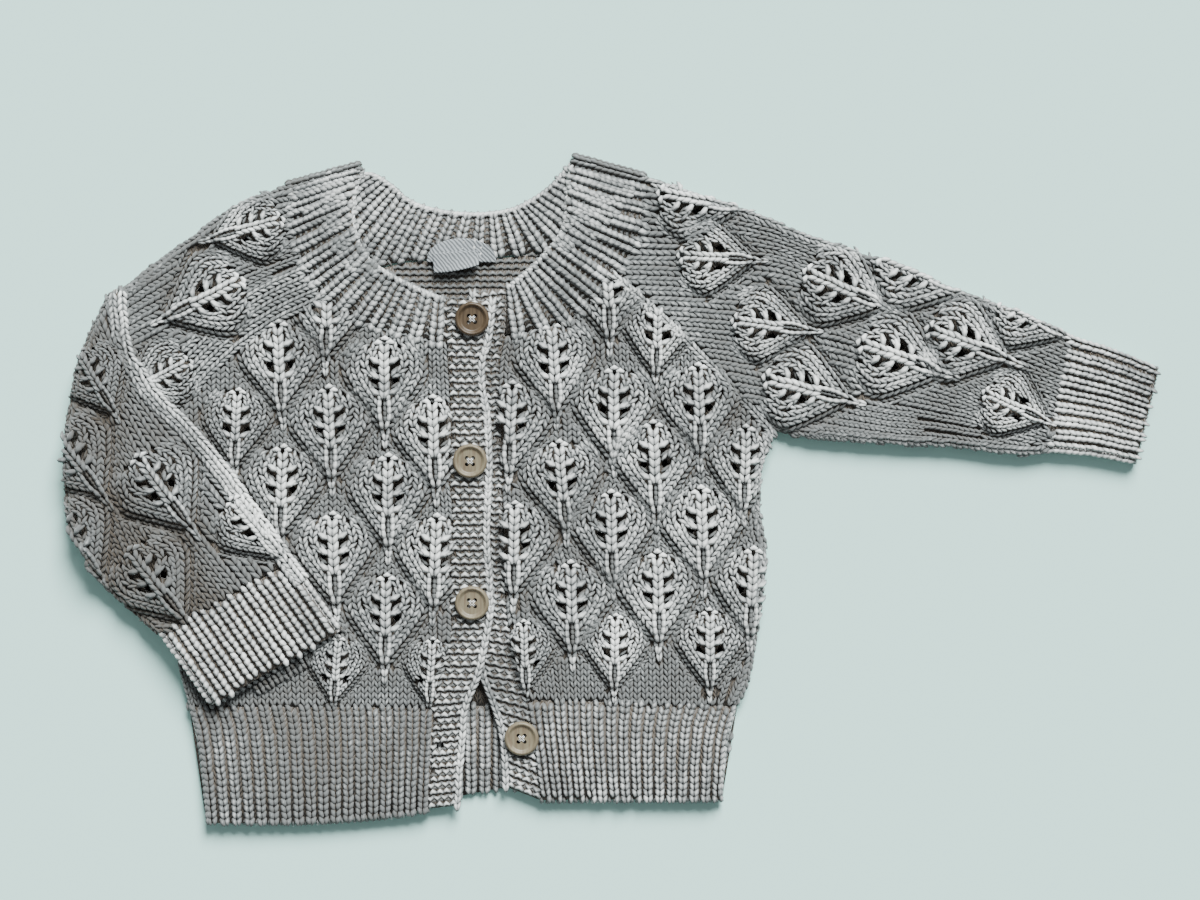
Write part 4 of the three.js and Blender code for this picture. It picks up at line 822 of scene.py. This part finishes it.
ribs("right_hem_rib", [(-196, -164.5), (-198, -142), (-201, -120), (-204.7, -108)], [(-85.3, -158.8),
    (-82.9, -108)], 18, sag=2.4, rolled=(True, False))
ribs("left_hem_rib", [(-29.6, -153.8), (-36.4, -104.4)], [(60.8, -153.4), (62, -135), (64, -120),
    (68.2, -108)], 16, rolled=(False, True))
ribs("back_hem_rib", [(-196, -164), (-204.7, -108)], [(60.8, -153), (68.2, -108)], 38)
ribs("left_cuff", [(278, 62), (256, 70.8), (234.8, 77.8)], [(266.5, 12.6), (245, 16.6), (223.3, 18.2)], 9, row=3.0)
ribs("right_cuff", [(-127, -69), (-139.5, -51.5), (-151.5, -35)], [(-194, -107.5), (-207, -89),
    (-219, -72)], 10, row=2.8)
edge_loops("right_hem_rib", [(-195.5, -164.6), (-150, -165.6), (-108, -163), (-86, -159.4)], 3.08, 1, 2.8)
edge_loops("left_hem_rib", [(-29, -154.6), (60.5, -154)], 2.8, 1, 2.8)
edge_loops("left_cuff", [(277.4, 61), (266.4, 14)], 1.9, -1, 6.4, radius=1.15)
edge_loops("right_cuff", [(-128, -69.6), (-193, -107)], 3.5, -1, 6.2, radius=1.4)

# The under layer of the folded cuff shows beyond its upper one, drawn darker as a painted shade where it lies below
# that one
at, along = spaced([(-130, -72), (-171, -95.5)], spacing=5.4)
out = -crosswise(along)
for away, level in ((1.6, 8.8), (4.4, 8.3)):
    flat, lift, radius = vees(at + out * away, -out, 5.2, 2.9, plump=0.215, foot=0.17, spread=0.38)
    legs = np.concatenate([flat + PLAN_SHIFT, (level + lift)[..., None]], axis=-1)
    yarns["right_cuff"].add(legs, np.tile((0.0, 0.0, 1.0),
        (len(legs), 1)), radius, random.normal(-0.5, 0.2, len(legs)))

# %% [markdown]
# ## The neckband
# Its ribs stand out from the neck like rays, and the band turns over at each shoulder, so it isn't laid from
# above: each stitch gets its place and its own up from the band's turn.

# %%
NECKBAND = [
    ((-76.9, 95), (-76.5, 72), 0), ((-86.5, 98.5), (-93, 76.5), 0), ((-102, 106), (-117, 83), 0),
    ((-114.5, 114), (-136.5, 94), 0), ((-121, 124.5), (-146, 108.5), 0), ((-123.5, 137.5), (-151.5, 124), 0),
    ((-122, 150), (-153.5, 139), 0), ((-119, 158.5), (-153, 149), 0), ((-119, 158.5), (-153, 149), 60),
    ((-119, 158.5), (-153, 149), 120), ((-118.5, 158.5), (-152.5, 149), 180), ((-112, 157), (-144.5, 138), 180),
    ((-103.5, 151.5), (-131.5, 122), 180), ((-96, 145), (-120, 109.5), 180), ((-86, 140.8), (-100, 113.6), 180),
    ((-71.5, 138.2), (-80, 115.2), 180), ((-56.5, 138), (-56, 115.8), 180), ((-44, 140.2), (-32, 118.4), 180),
    ((-34, 145), (-7, 125), 180), ((-25, 151.5), (4, 136), 180), ((-19, 158), (13, 147), 180),
    ((-14.5, 162.5), (18.5, 153.5), 180), ((-14, 162.5), (19, 153.5), 120), ((-14, 162.5), (19, 153.5), 60),
    ((-14, 162.5), (19, 153.5), 0), ((-15.5, 153), (21.4, 144), 0), ((-16.6, 143), (20.6, 131.5), 0),
    ((-17, 134.5), (16, 119.5), 0), ((-20.5, 126), (8, 108), 0), ((-27.5, 117.5), (-1, 96), 0),
    ((-35.5, 109.8), (-14, 86), 0), ((-42, 104.4), (-31, 79.8), 0), ((-46.2, 101), (-47.2, 77), 0),
]
NECK_RIBS = 44
FOLD_STATIONS = (7.6, 8.4, 9.2, 22.0, 22.8, 23.5)
# The band's middle height, half the thickness of its turn, and how far the yarn lies out from that
FLAT_MIDDLE, BAND_RADIUS, YARN_OUT = 2.9, 1.8, 1.6


def neck_lines():
    """Inner edge, outer edge and turn at fine steps, with the length run along the band's middle."""
    inside = rounded(np.array([row[0] for row in NECKBAND], float), 12)
    outside = rounded(np.array([row[1] for row in NECKBAND], float), 12)
    stations = np.linspace(0, len(NECKBAND) - 1, len(inside))
    turn = np.radians(np.interp(stations, range(len(NECKBAND)), [row[2] for row in NECKBAND]))
    step = np.hypot(np.linalg.norm(np.diff((inside + outside) / 2, axis=0), axis=1), BAND_RADIUS * np.abs(np.diff(turn)))
    return inside, outside, turn, np.concatenate([[0], np.cumsum(step)]), stations


def neck_ribs():
    inside, outside, turn, run, stations = neck_lines()
    yarn = yarns["neckband"]
    goals = [run[-1] * (k + 1) / (2 * NECK_RIBS) for k in range(2 * NECK_RIBS - 1)]
    # The two folds over the shoulders are so tight that they are filled with ribs only
    folds = [np.interp(station, stations, run) for station in FOLD_STATIONS]
    for k, goal in [*enumerate(goals), *((0, fold) for fold in folds)]:
        a, b = (np.array([np.interp(goal, run, line[:, n]) for n in (0, 1)]) for line in (inside, outside))
        bend, station = np.interp(goal, run, turn), np.interp(goal, run, stations)
        way = unit(b - a)
        level = np.array([way[1], -way[0]]) * (1 if station < len(NECKBAND) / 2 else -1)
        up = np.array([*(level * np.sin(bend)), np.cos(bend)])
        is_rib = k % 2 == 0
        reach = np.linalg.norm(b - a)
        rows = int(reach / 2.9)
        spots = a + (b - a) * ((np.arange(rows + 1) + 0.3) / rows)[:, None]
        # Ribs stand further apart at the outer edge
        order = range(len(run))
        near = np.interp(goal - 2, run, order), np.interp(goal + 2, run, order)
        fan = [
            sum(abs(np.interp(near[1], order, edge[:, n]) - np.interp(near[0], order, edge[:, n])) for n in (0, 1))
            for edge in (inside, outside)
        ]
        pitch = run[-1] / NECK_RIBS
        widths = np.clip(np.linspace(fan[0], fan[1], rows + 1) / 4 * pitch, 0.8 * pitch, 1.25 * pitch)
        along = np.tile(-way, (rows + 1, 1))
        if is_rib:
            style = {"lift": 0.45, "plump": 0.23, "foot": 0.14, "spread": 0.33}
            xy, lift, radius = vees(spots, along, widths * 0.74, reach / rows, **style)
        else:
            xy, lift, radius = bumps(spots, along, widths * 0.46, reach / rows, lift=-0.3, plump=0.85)
        # painted shade: the purl bumps in the furrows are drawn darker than the ribs
        if up[2] > 0.9 or bend > 3:
            yarn.lay(xy, lift, radius, shade=0.1 if is_rib else -0.5, everywhere=bend < 0.1)
            continue
        # Round the shoulder fold the band is a half turn about its middle height
        xyz = np.concatenate([xy + PLAN_SHIFT, np.full((*xy.shape[:2], 1), FLAT_MIDDLE)], axis=-1)
        xyz = xyz + up * (BAND_RADIUS + YARN_OUT + lift[..., None])
        yarn.add(xyz, np.tile(up, (len(xyz), 1)), radius, random.normal(-0.2, 0.15, len(xyz)))


neck_ribs()


def neck_edge():
    """The cast-off edge: a rope of loops along the inside of the band, raised over the ends of the ribs."""
    inside, outside, turn, _, _ = neck_lines()
    run = np.concatenate([[0], np.cumsum(np.linalg.norm(np.diff(inside, axis=0), axis=1))])
    goals = np.arange(1.5, run[-1] - 1, 2.5)
    flat = [np.interp(goals, run, turn) < 0.1, np.interp(goals, run, turn) > 3]
    at = np.stack([np.interp(goals, run, inside[:, k]) for k in (0, 1)], axis=1)
    out = unit(np.stack([np.interp(goals, run, (outside - inside)[:, k]) for k in (0, 1)], axis=1))
    along = unit(np.gradient(at, axis=0))
    legs = np.stack([at - along * 2.2 + out * 1.3, at + out * 0.4, at + along * 2.2 - out * 0.9], axis=1)
    for mask in flat:
        count = int(mask.sum())
        lifts = np.tile([0.0, 0.8, 0.0], (count, 1))
        # painted light: the raised rope is drawn lighter than the band
        yarns["neckband"].lay(legs[mask], lifts, np.full(count, 1.2), 0.5, everywhere=True)


neck_edge()

# %% [markdown]
# ## Garter-stitch bands
# Every row of a garter band is a ridge of bumps, arched one way above and the other way below.

# %%
BUTTONHOLE_BAND = (
    [(-85, -158.5), (-83.5, -132), (-82.5, -108), (-79, -88), (-73.8, -70), (-74.6, -50), (-73.2, -16),
        (-74.6, 4), (-74, 30), (-75, 54), (-76, 71), (-76.5, 95)],
    [(-71, -157), (-70, -140), (-68.5, -122), (-67, -108), (-61, -92), (-55.6, -68), (-54.6, -56),
        (-56.4, -22), (-55.4, 8), (-56, 34), (-59.2, 58), (-55, 78), (-53.5, 94)],
)
BUTTON_BAND = (
    [(-47, -147.5), (-47.6, -130), (-50, -115), (-56.6, -97), (-61, -80), (-64.4, -55), (-65.6, 20),
        (-67, 60), (-64.5, 82), (-63.4, 98)],
    [(-30, -154.2), (-33.6, -126), (-37, -101.5), (-40.5, -88), (-46.6, -60), (-48.4, 0), (-49.6, 40),
        (-49.8, 62), (-47.6, 77), (-46.6, 100.5)],
)


def garter(name, left, right, ridges, across=4):
    a, b = spaced(left, count=2 * ridges)[0], spaced(right, count=2 * ridges)[0]
    for k in range(2 * ridges):
        way = unit(b[k] - a[k])
        up = np.array([-way[1], way[0]])
        width = np.linalg.norm(b[k] - a[k]) / across
        # painted shade: the bumps between the ridges are drawn much darker than the ridges
        rows = [(0.5, 0.95, across, 0.45, 1.2, 0.34, 0.25), (0.0, -0.95, across + 1, 0.35, 1.2, -0.34, 0.1)]
        if k % 2:
            rows = [(0.25, 0.0, across, -0.45, 1.1, 0.15, -1.0), (0.75, 0.0, across, -0.45, 1.1, 0.15, -1.0)]
        for first, rise, n, lift, plump, arch, shade in rows:
            at = a[k] + (b[k] - a[k]) * ((np.arange(n) + first) / across)[:, None] + rise * up
            ridge = bumps(at, np.tile(up, (n, 1)), width * 0.92, 3.2, lift=lift, plump=plump, arch=arch)
            yarns[name].lay(*ridge, shade=shade)


garter("buttonhole_band", *BUTTONHOLE_BAND, 40)
garter("button_band", *BUTTON_BAND, 40)
# A chain of stitches runs up the free edge of each band
for name, line in (("buttonhole_band", BUTTONHOLE_BAND[1]), ("button_band", BUTTON_BAND[0])):
    at, along = spaced(line, spacing=3.6)
    yarns[name].lay(*vees(at, along, 3.4, 3.6, lift=0.2, plump=0.28), shade=0.2, everywhere=True)

# %% [markdown]
# ## Seams
# On the folded side the sleeve's own columns run along the raglan seam, and the front's end at it. On the other
# side it is one column of the front that runs along it.

# %%
for name, line, shifts in (
    ("right_sleeve_front", RAGLANS["right_front"], (-1.9, -6.1, -10.3, -14.5, -18.7)),
    ("left_front", RAGLANS["left_front"], (1.8,)),
):
    for shift in shifts:
        at, along = spaced(line, spacing=3.1)
        away = crosswise(along)
        away = away * np.where(away[:, 1:] > 0, -1, 1)
        at = at + away * shift
        keep = off_leaves(LEAVES[name], at) if "sleeve" in name else np.full(len(at), True)
        chain = vees(at[keep], along[keep], 4.1, 3.1, lift=0.4, plump=0.235)
        yarns[name].lay(*chain, shade=0.25, everywhere=abs(shift) < 3)

# %% [markdown]
# ## Edges where the cloth turns under
# A sleeve is a flat tube, so its last column lies on the turn. A rough line is enough here: each of its points
# moves sideways to the edge of what shows of that piece, which the height grids already know.

# %%


def edge_chain(name, line, shade, inset=1.7, lift=0.3):
    at, along = spaced(line, spacing=3.0)
    side = crosswise(along)
    steps = np.arange(-11, 11.5, 0.5)

    def seen(outward):
        spots = at[:, None] + outward[:, None] * steps[:, None] + PLAN_SHIFT
        cell = np.clip(np.round(spots - LOW).astype(int), 0, np.array(COUNT) - 1)
        return shown[name][cell[..., 0], cell[..., 1]]

    half = len(steps) // 2
    if seen(side)[:, half:].sum() > seen(side)[:, :half].sum():
        side = -side
    found = seen(side)
    last = np.where(found.any(axis=1), steps[len(steps) - 1 - np.argmax(found[:, ::-1], axis=1)], 0.0)
    padded = np.pad(last, 3, mode="edge")
    last = np.median([padded[k : k + len(last)] for k in range(7)], axis=0)
    at = at + side * (last - inset)[:, None]
    along = unit(np.gradient(at, axis=0))
    yarns[name].lay(*vees(at, along, 4.3, 3.0, lift=lift, plump=0.25), shade=shade, everywhere=True)


edge_chain("left_sleeve_front", [(27.5, 152.5), (74.5, 139.5), (121.5, 126), (168, 107.5), (203.5, 92.5),
    (229.5, 75)], 0.1)
edge_chain("left_sleeve_front", [(86, 31), (121.5, 27), (156.5, 22.5), (203.5, 17.5), (224, 17.5)], 0.0)
edge_chain("right_sleeve_front", [(-160, 151), (-189, 136.5), (-212.5, 122), (-236, 104)], 0.0)
edge_chain("right_sleeve_back", [(-242, 96), (-259.5, 69), (-266.5, 28), (-266.5, -7), (-256.5, -30.5),
    (-236, -57), (-217, -72)], -0.1)
# painted light: the rolled inner edge of the folded forearm drawn as a light rope
for inset, shade, lift in ((1.5, 0.7, 0.9), (5.6, 0.4, 0.6)):
    edge_chain("right_sleeve_back", [(-239, 96), (-224.5, 51.5), (-204, 28), (-180.5, -1), (-160, -24.5),
        (-146, -42)], shade, inset=inset, lift=lift)
edge_chain("left_front", [(79, 26), (77.5, -36), (74.5, -83), (66, -104)], 0.0)

# %% [markdown]
# ## Inside of the back
# Through the neck the wrong side of the back shows, and there every stitch is a purl bump.

# %%
at, along, width, length = columns([[(-140, 95), (-140, 160)], [(25, 95), (25, 160)]], STITCH, ROW)
yarns["back"].lay(*bumps(at, along, 4.3, 2.9, lift=0.3, plump=1.05, arch=0.4), shade=-0.3)

# %% [markdown]
# ## The knitted pieces
# Each yarn mesh and its shell are tied to the root, and the shell stands for the frame's wall, which is hidden. The
# table gives how large each piece was cut, which for knitting is the size that it was knitted to; it is looked up but
# not used.

# %%
FLAT = {
    "right_front": (0.150, 0.215), "left_front": (0.150, 0.215), "back": (0.305, 0.235),
    "right_hem_rib": (0.125, 0.058), "left_hem_rib": (0.105, 0.052), "back_hem_rib": (0.272, 0.055),
    "buttonhole_band": (0.0205, 0.258), "button_band": (0.0195, 0.256), "neckband": (0.36, 0.037),
    "left_sleeve_front": (0.215, 0.125), "left_sleeve_back": (0.215, 0.125),
    "right_sleeve_front": (0.215, 0.125), "right_sleeve_back": (0.225, 0.125),
    "left_cuff": (0.12, 0.046), "right_cuff": (0.155, 0.047),
}
for name in CLOTH:
    piece = shells[name]
    pieces = []
    if yarns[name].points:
        pieces.append(yarns[name].mesh(f"{name}_yarn", yarn_wool))
    for each in [piece, *pieces]:
        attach(each, "root")
    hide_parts(name)
    width, length = FLAT[name]

# %% [markdown]
# ## Buttons
# A turned wooden button is a disc whose top is worked ring by ring: each inset makes a smaller ring, and moving
# it up or down forms the rim, the slope and the dish. A bevel softens the edges, and a boolean drills the four
# holes. Each button gets its own place, so the grain runs through it differently.

# %%
BUTTONS = ["button_1", "button_2", "button_3", "button_4"]
BUTTON_RADIUS, BUTTON_SIDE, HOLE_ASIDE, HOLE_RADIUS = 8.5, 2.5, 1.55, 1.0


def wood(name, light, dark):
    material, nodes, links, shader = new_material(name, {"Roughness": 0.42, "Specular IOR Level": 0.35})
    place = nodes.new("ShaderNodeTexCoord")
    stretch = new_node(nodes, "ShaderNodeMapping", Scale=(1.0, 0.12, 1.0), Rotation=(0, 0, 0.5))
    grain = new_node(nodes, "ShaderNodeTexNoise", Scale=900.0, Detail=5.0)
    ramp = new_ramp(nodes, (0.3, dark), (0.65, light))
    links.new(place.outputs["Object"], stretch.inputs["Vector"])
    links.new(stretch.outputs["Vector"], grain.inputs["Vector"])
    links.new(grain.outputs["Fac"], ramp.inputs["Fac"])
    links.new(ramp.outputs["Color"], shader.inputs["Base Color"])
    return material


pale_wood = wood("pale wood", light=(0.185, 0.16, 0.105), dark=(0.125, 0.092, 0.06))
warm_wood = wood("warm wood", light=(0.078, 0.053, 0.030), dark=(0.04, 0.025, 0.013))


def button(name, material):
    bpy.ops.object.select_all(action="DESELECT")
    size = {"radius": BUTTON_RADIUS * MM, "depth": BUTTON_SIDE * MM}
    bpy.ops.mesh.primitive_cylinder_add(vertices=48, location=(0, 0, BUTTON_SIDE / 2 * MM), **size)
    piece = bpy.context.object
    piece.name = piece.data.name = f"{name}_wood"
    bpy.ops.object.transform_apply(location=True, rotation=False, scale=False)
    for part in (piece.data.vertices, piece.data.edges, piece.data.polygons):
        part.foreach_set("select", np.zeros(len(part), bool))
    for face in piece.data.polygons:
        face.select = face.normal.z > 0.9
    bpy.ops.object.mode_set(mode="EDIT")
    bpy.ops.mesh.select_mode(type="FACE")
    for inset, rise in ((0.8, 0.9), (0.7, 0.0), (0.9, -0.9), (0.5, -0.3), (2.6, 0.15)):
        bpy.ops.mesh.inset(thickness=inset * MM)
        bpy.ops.transform.translate(value=(0, 0, rise * MM))
    bpy.ops.object.mode_set(mode="OBJECT")
    soft = piece.modifiers.new("soft edges", "BEVEL")
    soft.width = 0.3 * MM
    soft.segments = 3
    soft.limit_method = "ANGLE"
    soft.angle_limit = math.radians(20)
    bpy.ops.object.modifier_apply(modifier=soft.name)
    for sx, sy in ((-1, -1), (1, -1), (1, 1), (-1, 1)):
        bpy.ops.object.select_all(action="DESELECT")
        spot = (sx * HOLE_ASIDE * MM, sy * HOLE_ASIDE * MM, 2 * MM)
        bpy.ops.mesh.primitive_cylinder_add(vertices=20, radius=HOLE_RADIUS * MM, depth=8 * MM, location=spot)
        drill = bpy.context.object
        only(piece)
        cut = piece.modifiers.new("hole", "BOOLEAN")
        cut.operation = "DIFFERENCE"
        cut.solver = "EXACT"
        cut.object = drill
        bpy.ops.object.modifier_apply(modifier=cut.name)
        bpy.data.objects.remove(drill)
    bpy.ops.object.shade_smooth_by_angle(angle=math.radians(35))
    low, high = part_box(name)
    middle = (low + high) / 2
    piece.data.transform(Matrix.Translation((middle.x, middle.y, low.z)))
    piece.data.materials.clear()
    piece.data.materials.append(material)
    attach(piece, "root")
    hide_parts(name)


for name in BUTTONS:
    button(name, warm_wood if name == "button_1" else pale_wood)

# %% [markdown]
# ## Thread
# White thread crosses each button from hole to hole and goes down into the wool.

# %%
thread_white = wool("thread", light=(0.85, 0.84, 0.80), medium=(0.7, 0.69, 0.66), dark=(0.6, 0.58, 0.54))
thread = Yarn(None)
for name in BUTTONS:
    low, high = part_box(name)
    middle = np.array((low + high) / 2) / MM
    middle[2] = low.z / MM + 2.1
    for way in (-1, 1):
        for shift in (-0.25, 0.25):
            end = np.array([1.45, 1.45 * way, 0.0])
            off = np.array([shift, -shift * way, 0.0])
            spans = [(-1.0, -0.7), (-0.62, 0.35), (0.0, 0.75)], [(0.0, 0.75), (0.62, 0.35), (1.0, -0.7)]
            for span in spans:
                leg = np.array([[middle + off + end * share + (0, 0, rise) for share, rise in span]])
                thread.add(leg, np.array([[0, 0, 1.0]]), np.array([0.26]), np.array([0.0]))
stitches = thread.mesh("button_thread", thread_white)
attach(stitches, "root")

# %% [markdown]
# ## Labels
# Two bare woven tabs are sewn inside the back of the neck: a wide one whose top is arched, and a small one that
# hangs over it and curls. A woven tab is thin and smooth beside the knitting, with a fine raised weave.

# %%


def woven():
    material, nodes, links, shader = new_material("woven label", {"Roughness": 0.7, "Sheen Weight": 0.2})
    place = nodes.new("ShaderNodeTexCoord")
    wave = new_node(nodes, "ShaderNodeTexWave", Scale=300.0, Distortion=3.0)
    wave.bands_direction = "DIAGONAL"
    ramp = new_ramp(nodes, (0.0, (0.08, 0.088, 0.094)), (1.0, (0.30, 0.325, 0.34)))
    links.new(place.outputs["Object"], wave.inputs["Vector"])
    links.new(wave.outputs["Fac"], ramp.inputs["Fac"])
    links.new(ramp.outputs["Color"], shader.inputs["Base Color"])
    new_bump(nodes, links, shader, wave.outputs["Fac"], 0.5, 0.0004)
    return material


woven_label = woven()


def tab(name, surface, thickness=0.45, columns=32, rows=12):
    """A tab whose top is surface(u, v) in mm on the plan, with u across and v up, from 0 to 1."""
    u, v = np.meshgrid(np.linspace(0, 1, columns + 1), np.linspace(0, 1, rows + 1), indexing="ij")
    top = np.stack(surface(u, v), axis=-1)
    top[..., :2] += PLAN_SHIFT
    points = np.concatenate([top.reshape(-1, 3), (top - (0, 0, thickness)).reshape(-1, 3)])
    at = np.arange((columns + 1) * (rows + 1)).reshape(columns + 1, rows + 1)
    a, b, c, d = at[:-1, :-1], at[1:, :-1], at[1:, 1:], at[:-1, 1:]
    under = len(points) // 2
    faces = [np.stack([a, b, c, d], -1).reshape(-1, 4), np.stack([a, d, c, b], -1).reshape(-1, 4) + under]
    edge = np.concatenate([at[:-1, 0], at[-1, :-1], at[:0:-1, -1], at[0, :0:-1]])
    after = np.roll(edge, -1)
    faces.append(np.stack([after, edge, edge + under, after + under], -1))
    piece = mesh_piece(f"{name}_woven", points * MM, np.concatenate(faces), np.zeros((0, 3), int), woven_label)
    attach(piece, "root")
    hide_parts(name)
    return piece


def neck_tab(u, v):
    side = 2 * u - 1
    arch = np.sqrt(np.clip(1 - 0.9 * side**2, 0, 1))
    z = 4.6 + 0.5 * np.sin(5 * u + 2 * v) + 0.6 * (1 - v)
    return -69 + 17.5 * side * (1 - 0.06 * v), 113.6 + v * (1.5 + 10.5 * arch), z


def size_tab(u, v):
    bottom = 108.2 + 4.0 * u**2
    z = 5.6 + 1.6 * (1 - v) ** 2 * (0.5 + u) + 0.5 * np.sin(4 * u)
    return -83.5 + 22.5 * u + 0.8 * (1 - v), bottom + v * (118.2 + 1.2 * u - bottom), z


for name, surface, flat in (("neck_label", neck_tab, (0.034, 0.0125)), ("size_label", size_tab, (0.0225, 0.0105))):
    piece = tab(name, surface)

# %% [markdown]
# ## Stage
# A plain pale floor, one soft light like a window beyond the garment's neck, and weak light from all round. The
# camera looks straight down.

# %%
bpy.ops.mesh.primitive_plane_add(size=6, location=(0, 0, -0.0002))
floor = bpy.context.object
floor.name = "floor"
floor.data.materials.append(new_material("floor", {"Base Color": (0.51, 0.78, 0.72, 1), "Roughness": 0.9})[0])


def far_light(name, place, spread, strength, colour):
    """A light so far off that it falls evenly on all of the floor."""
    light = bpy.data.lights.new(name, "SUN")
    light.angle = math.radians(spread)
    light.energy = strength
    light.color = colour
    lamp = bpy.data.objects.new(name, light)
    lamp.location = place
    lamp.rotation_euler = (-Vector(place)).to_track_quat("-Z", "Y").to_euler()
    bpy.context.scene.collection.objects.link(lamp)


far_light("key", (0.3, 1.0, 0.85), 30, 10.6, (0.95, 0.99, 0.99))

world = bpy.data.worlds.new("room")
bpy.context.scene.world = world
world.use_nodes = True
world.node_tree.nodes["Background"].inputs["Color"].default_value = (0.90, 0.97, 1.0, 1)
world.node_tree.nodes["Background"].inputs["Strength"].default_value = 0.33

camera_data = bpy.data.cameras.new("camera")
camera_data.lens = 90
camera_data.sensor_width = 36
camera = bpy.data.objects.new("camera", camera_data)
camera.location = (-5.95 * MM, 20.26 * MM, 1.5)
bpy.context.scene.collection.objects.link(camera)
bpy.context.scene.camera = camera
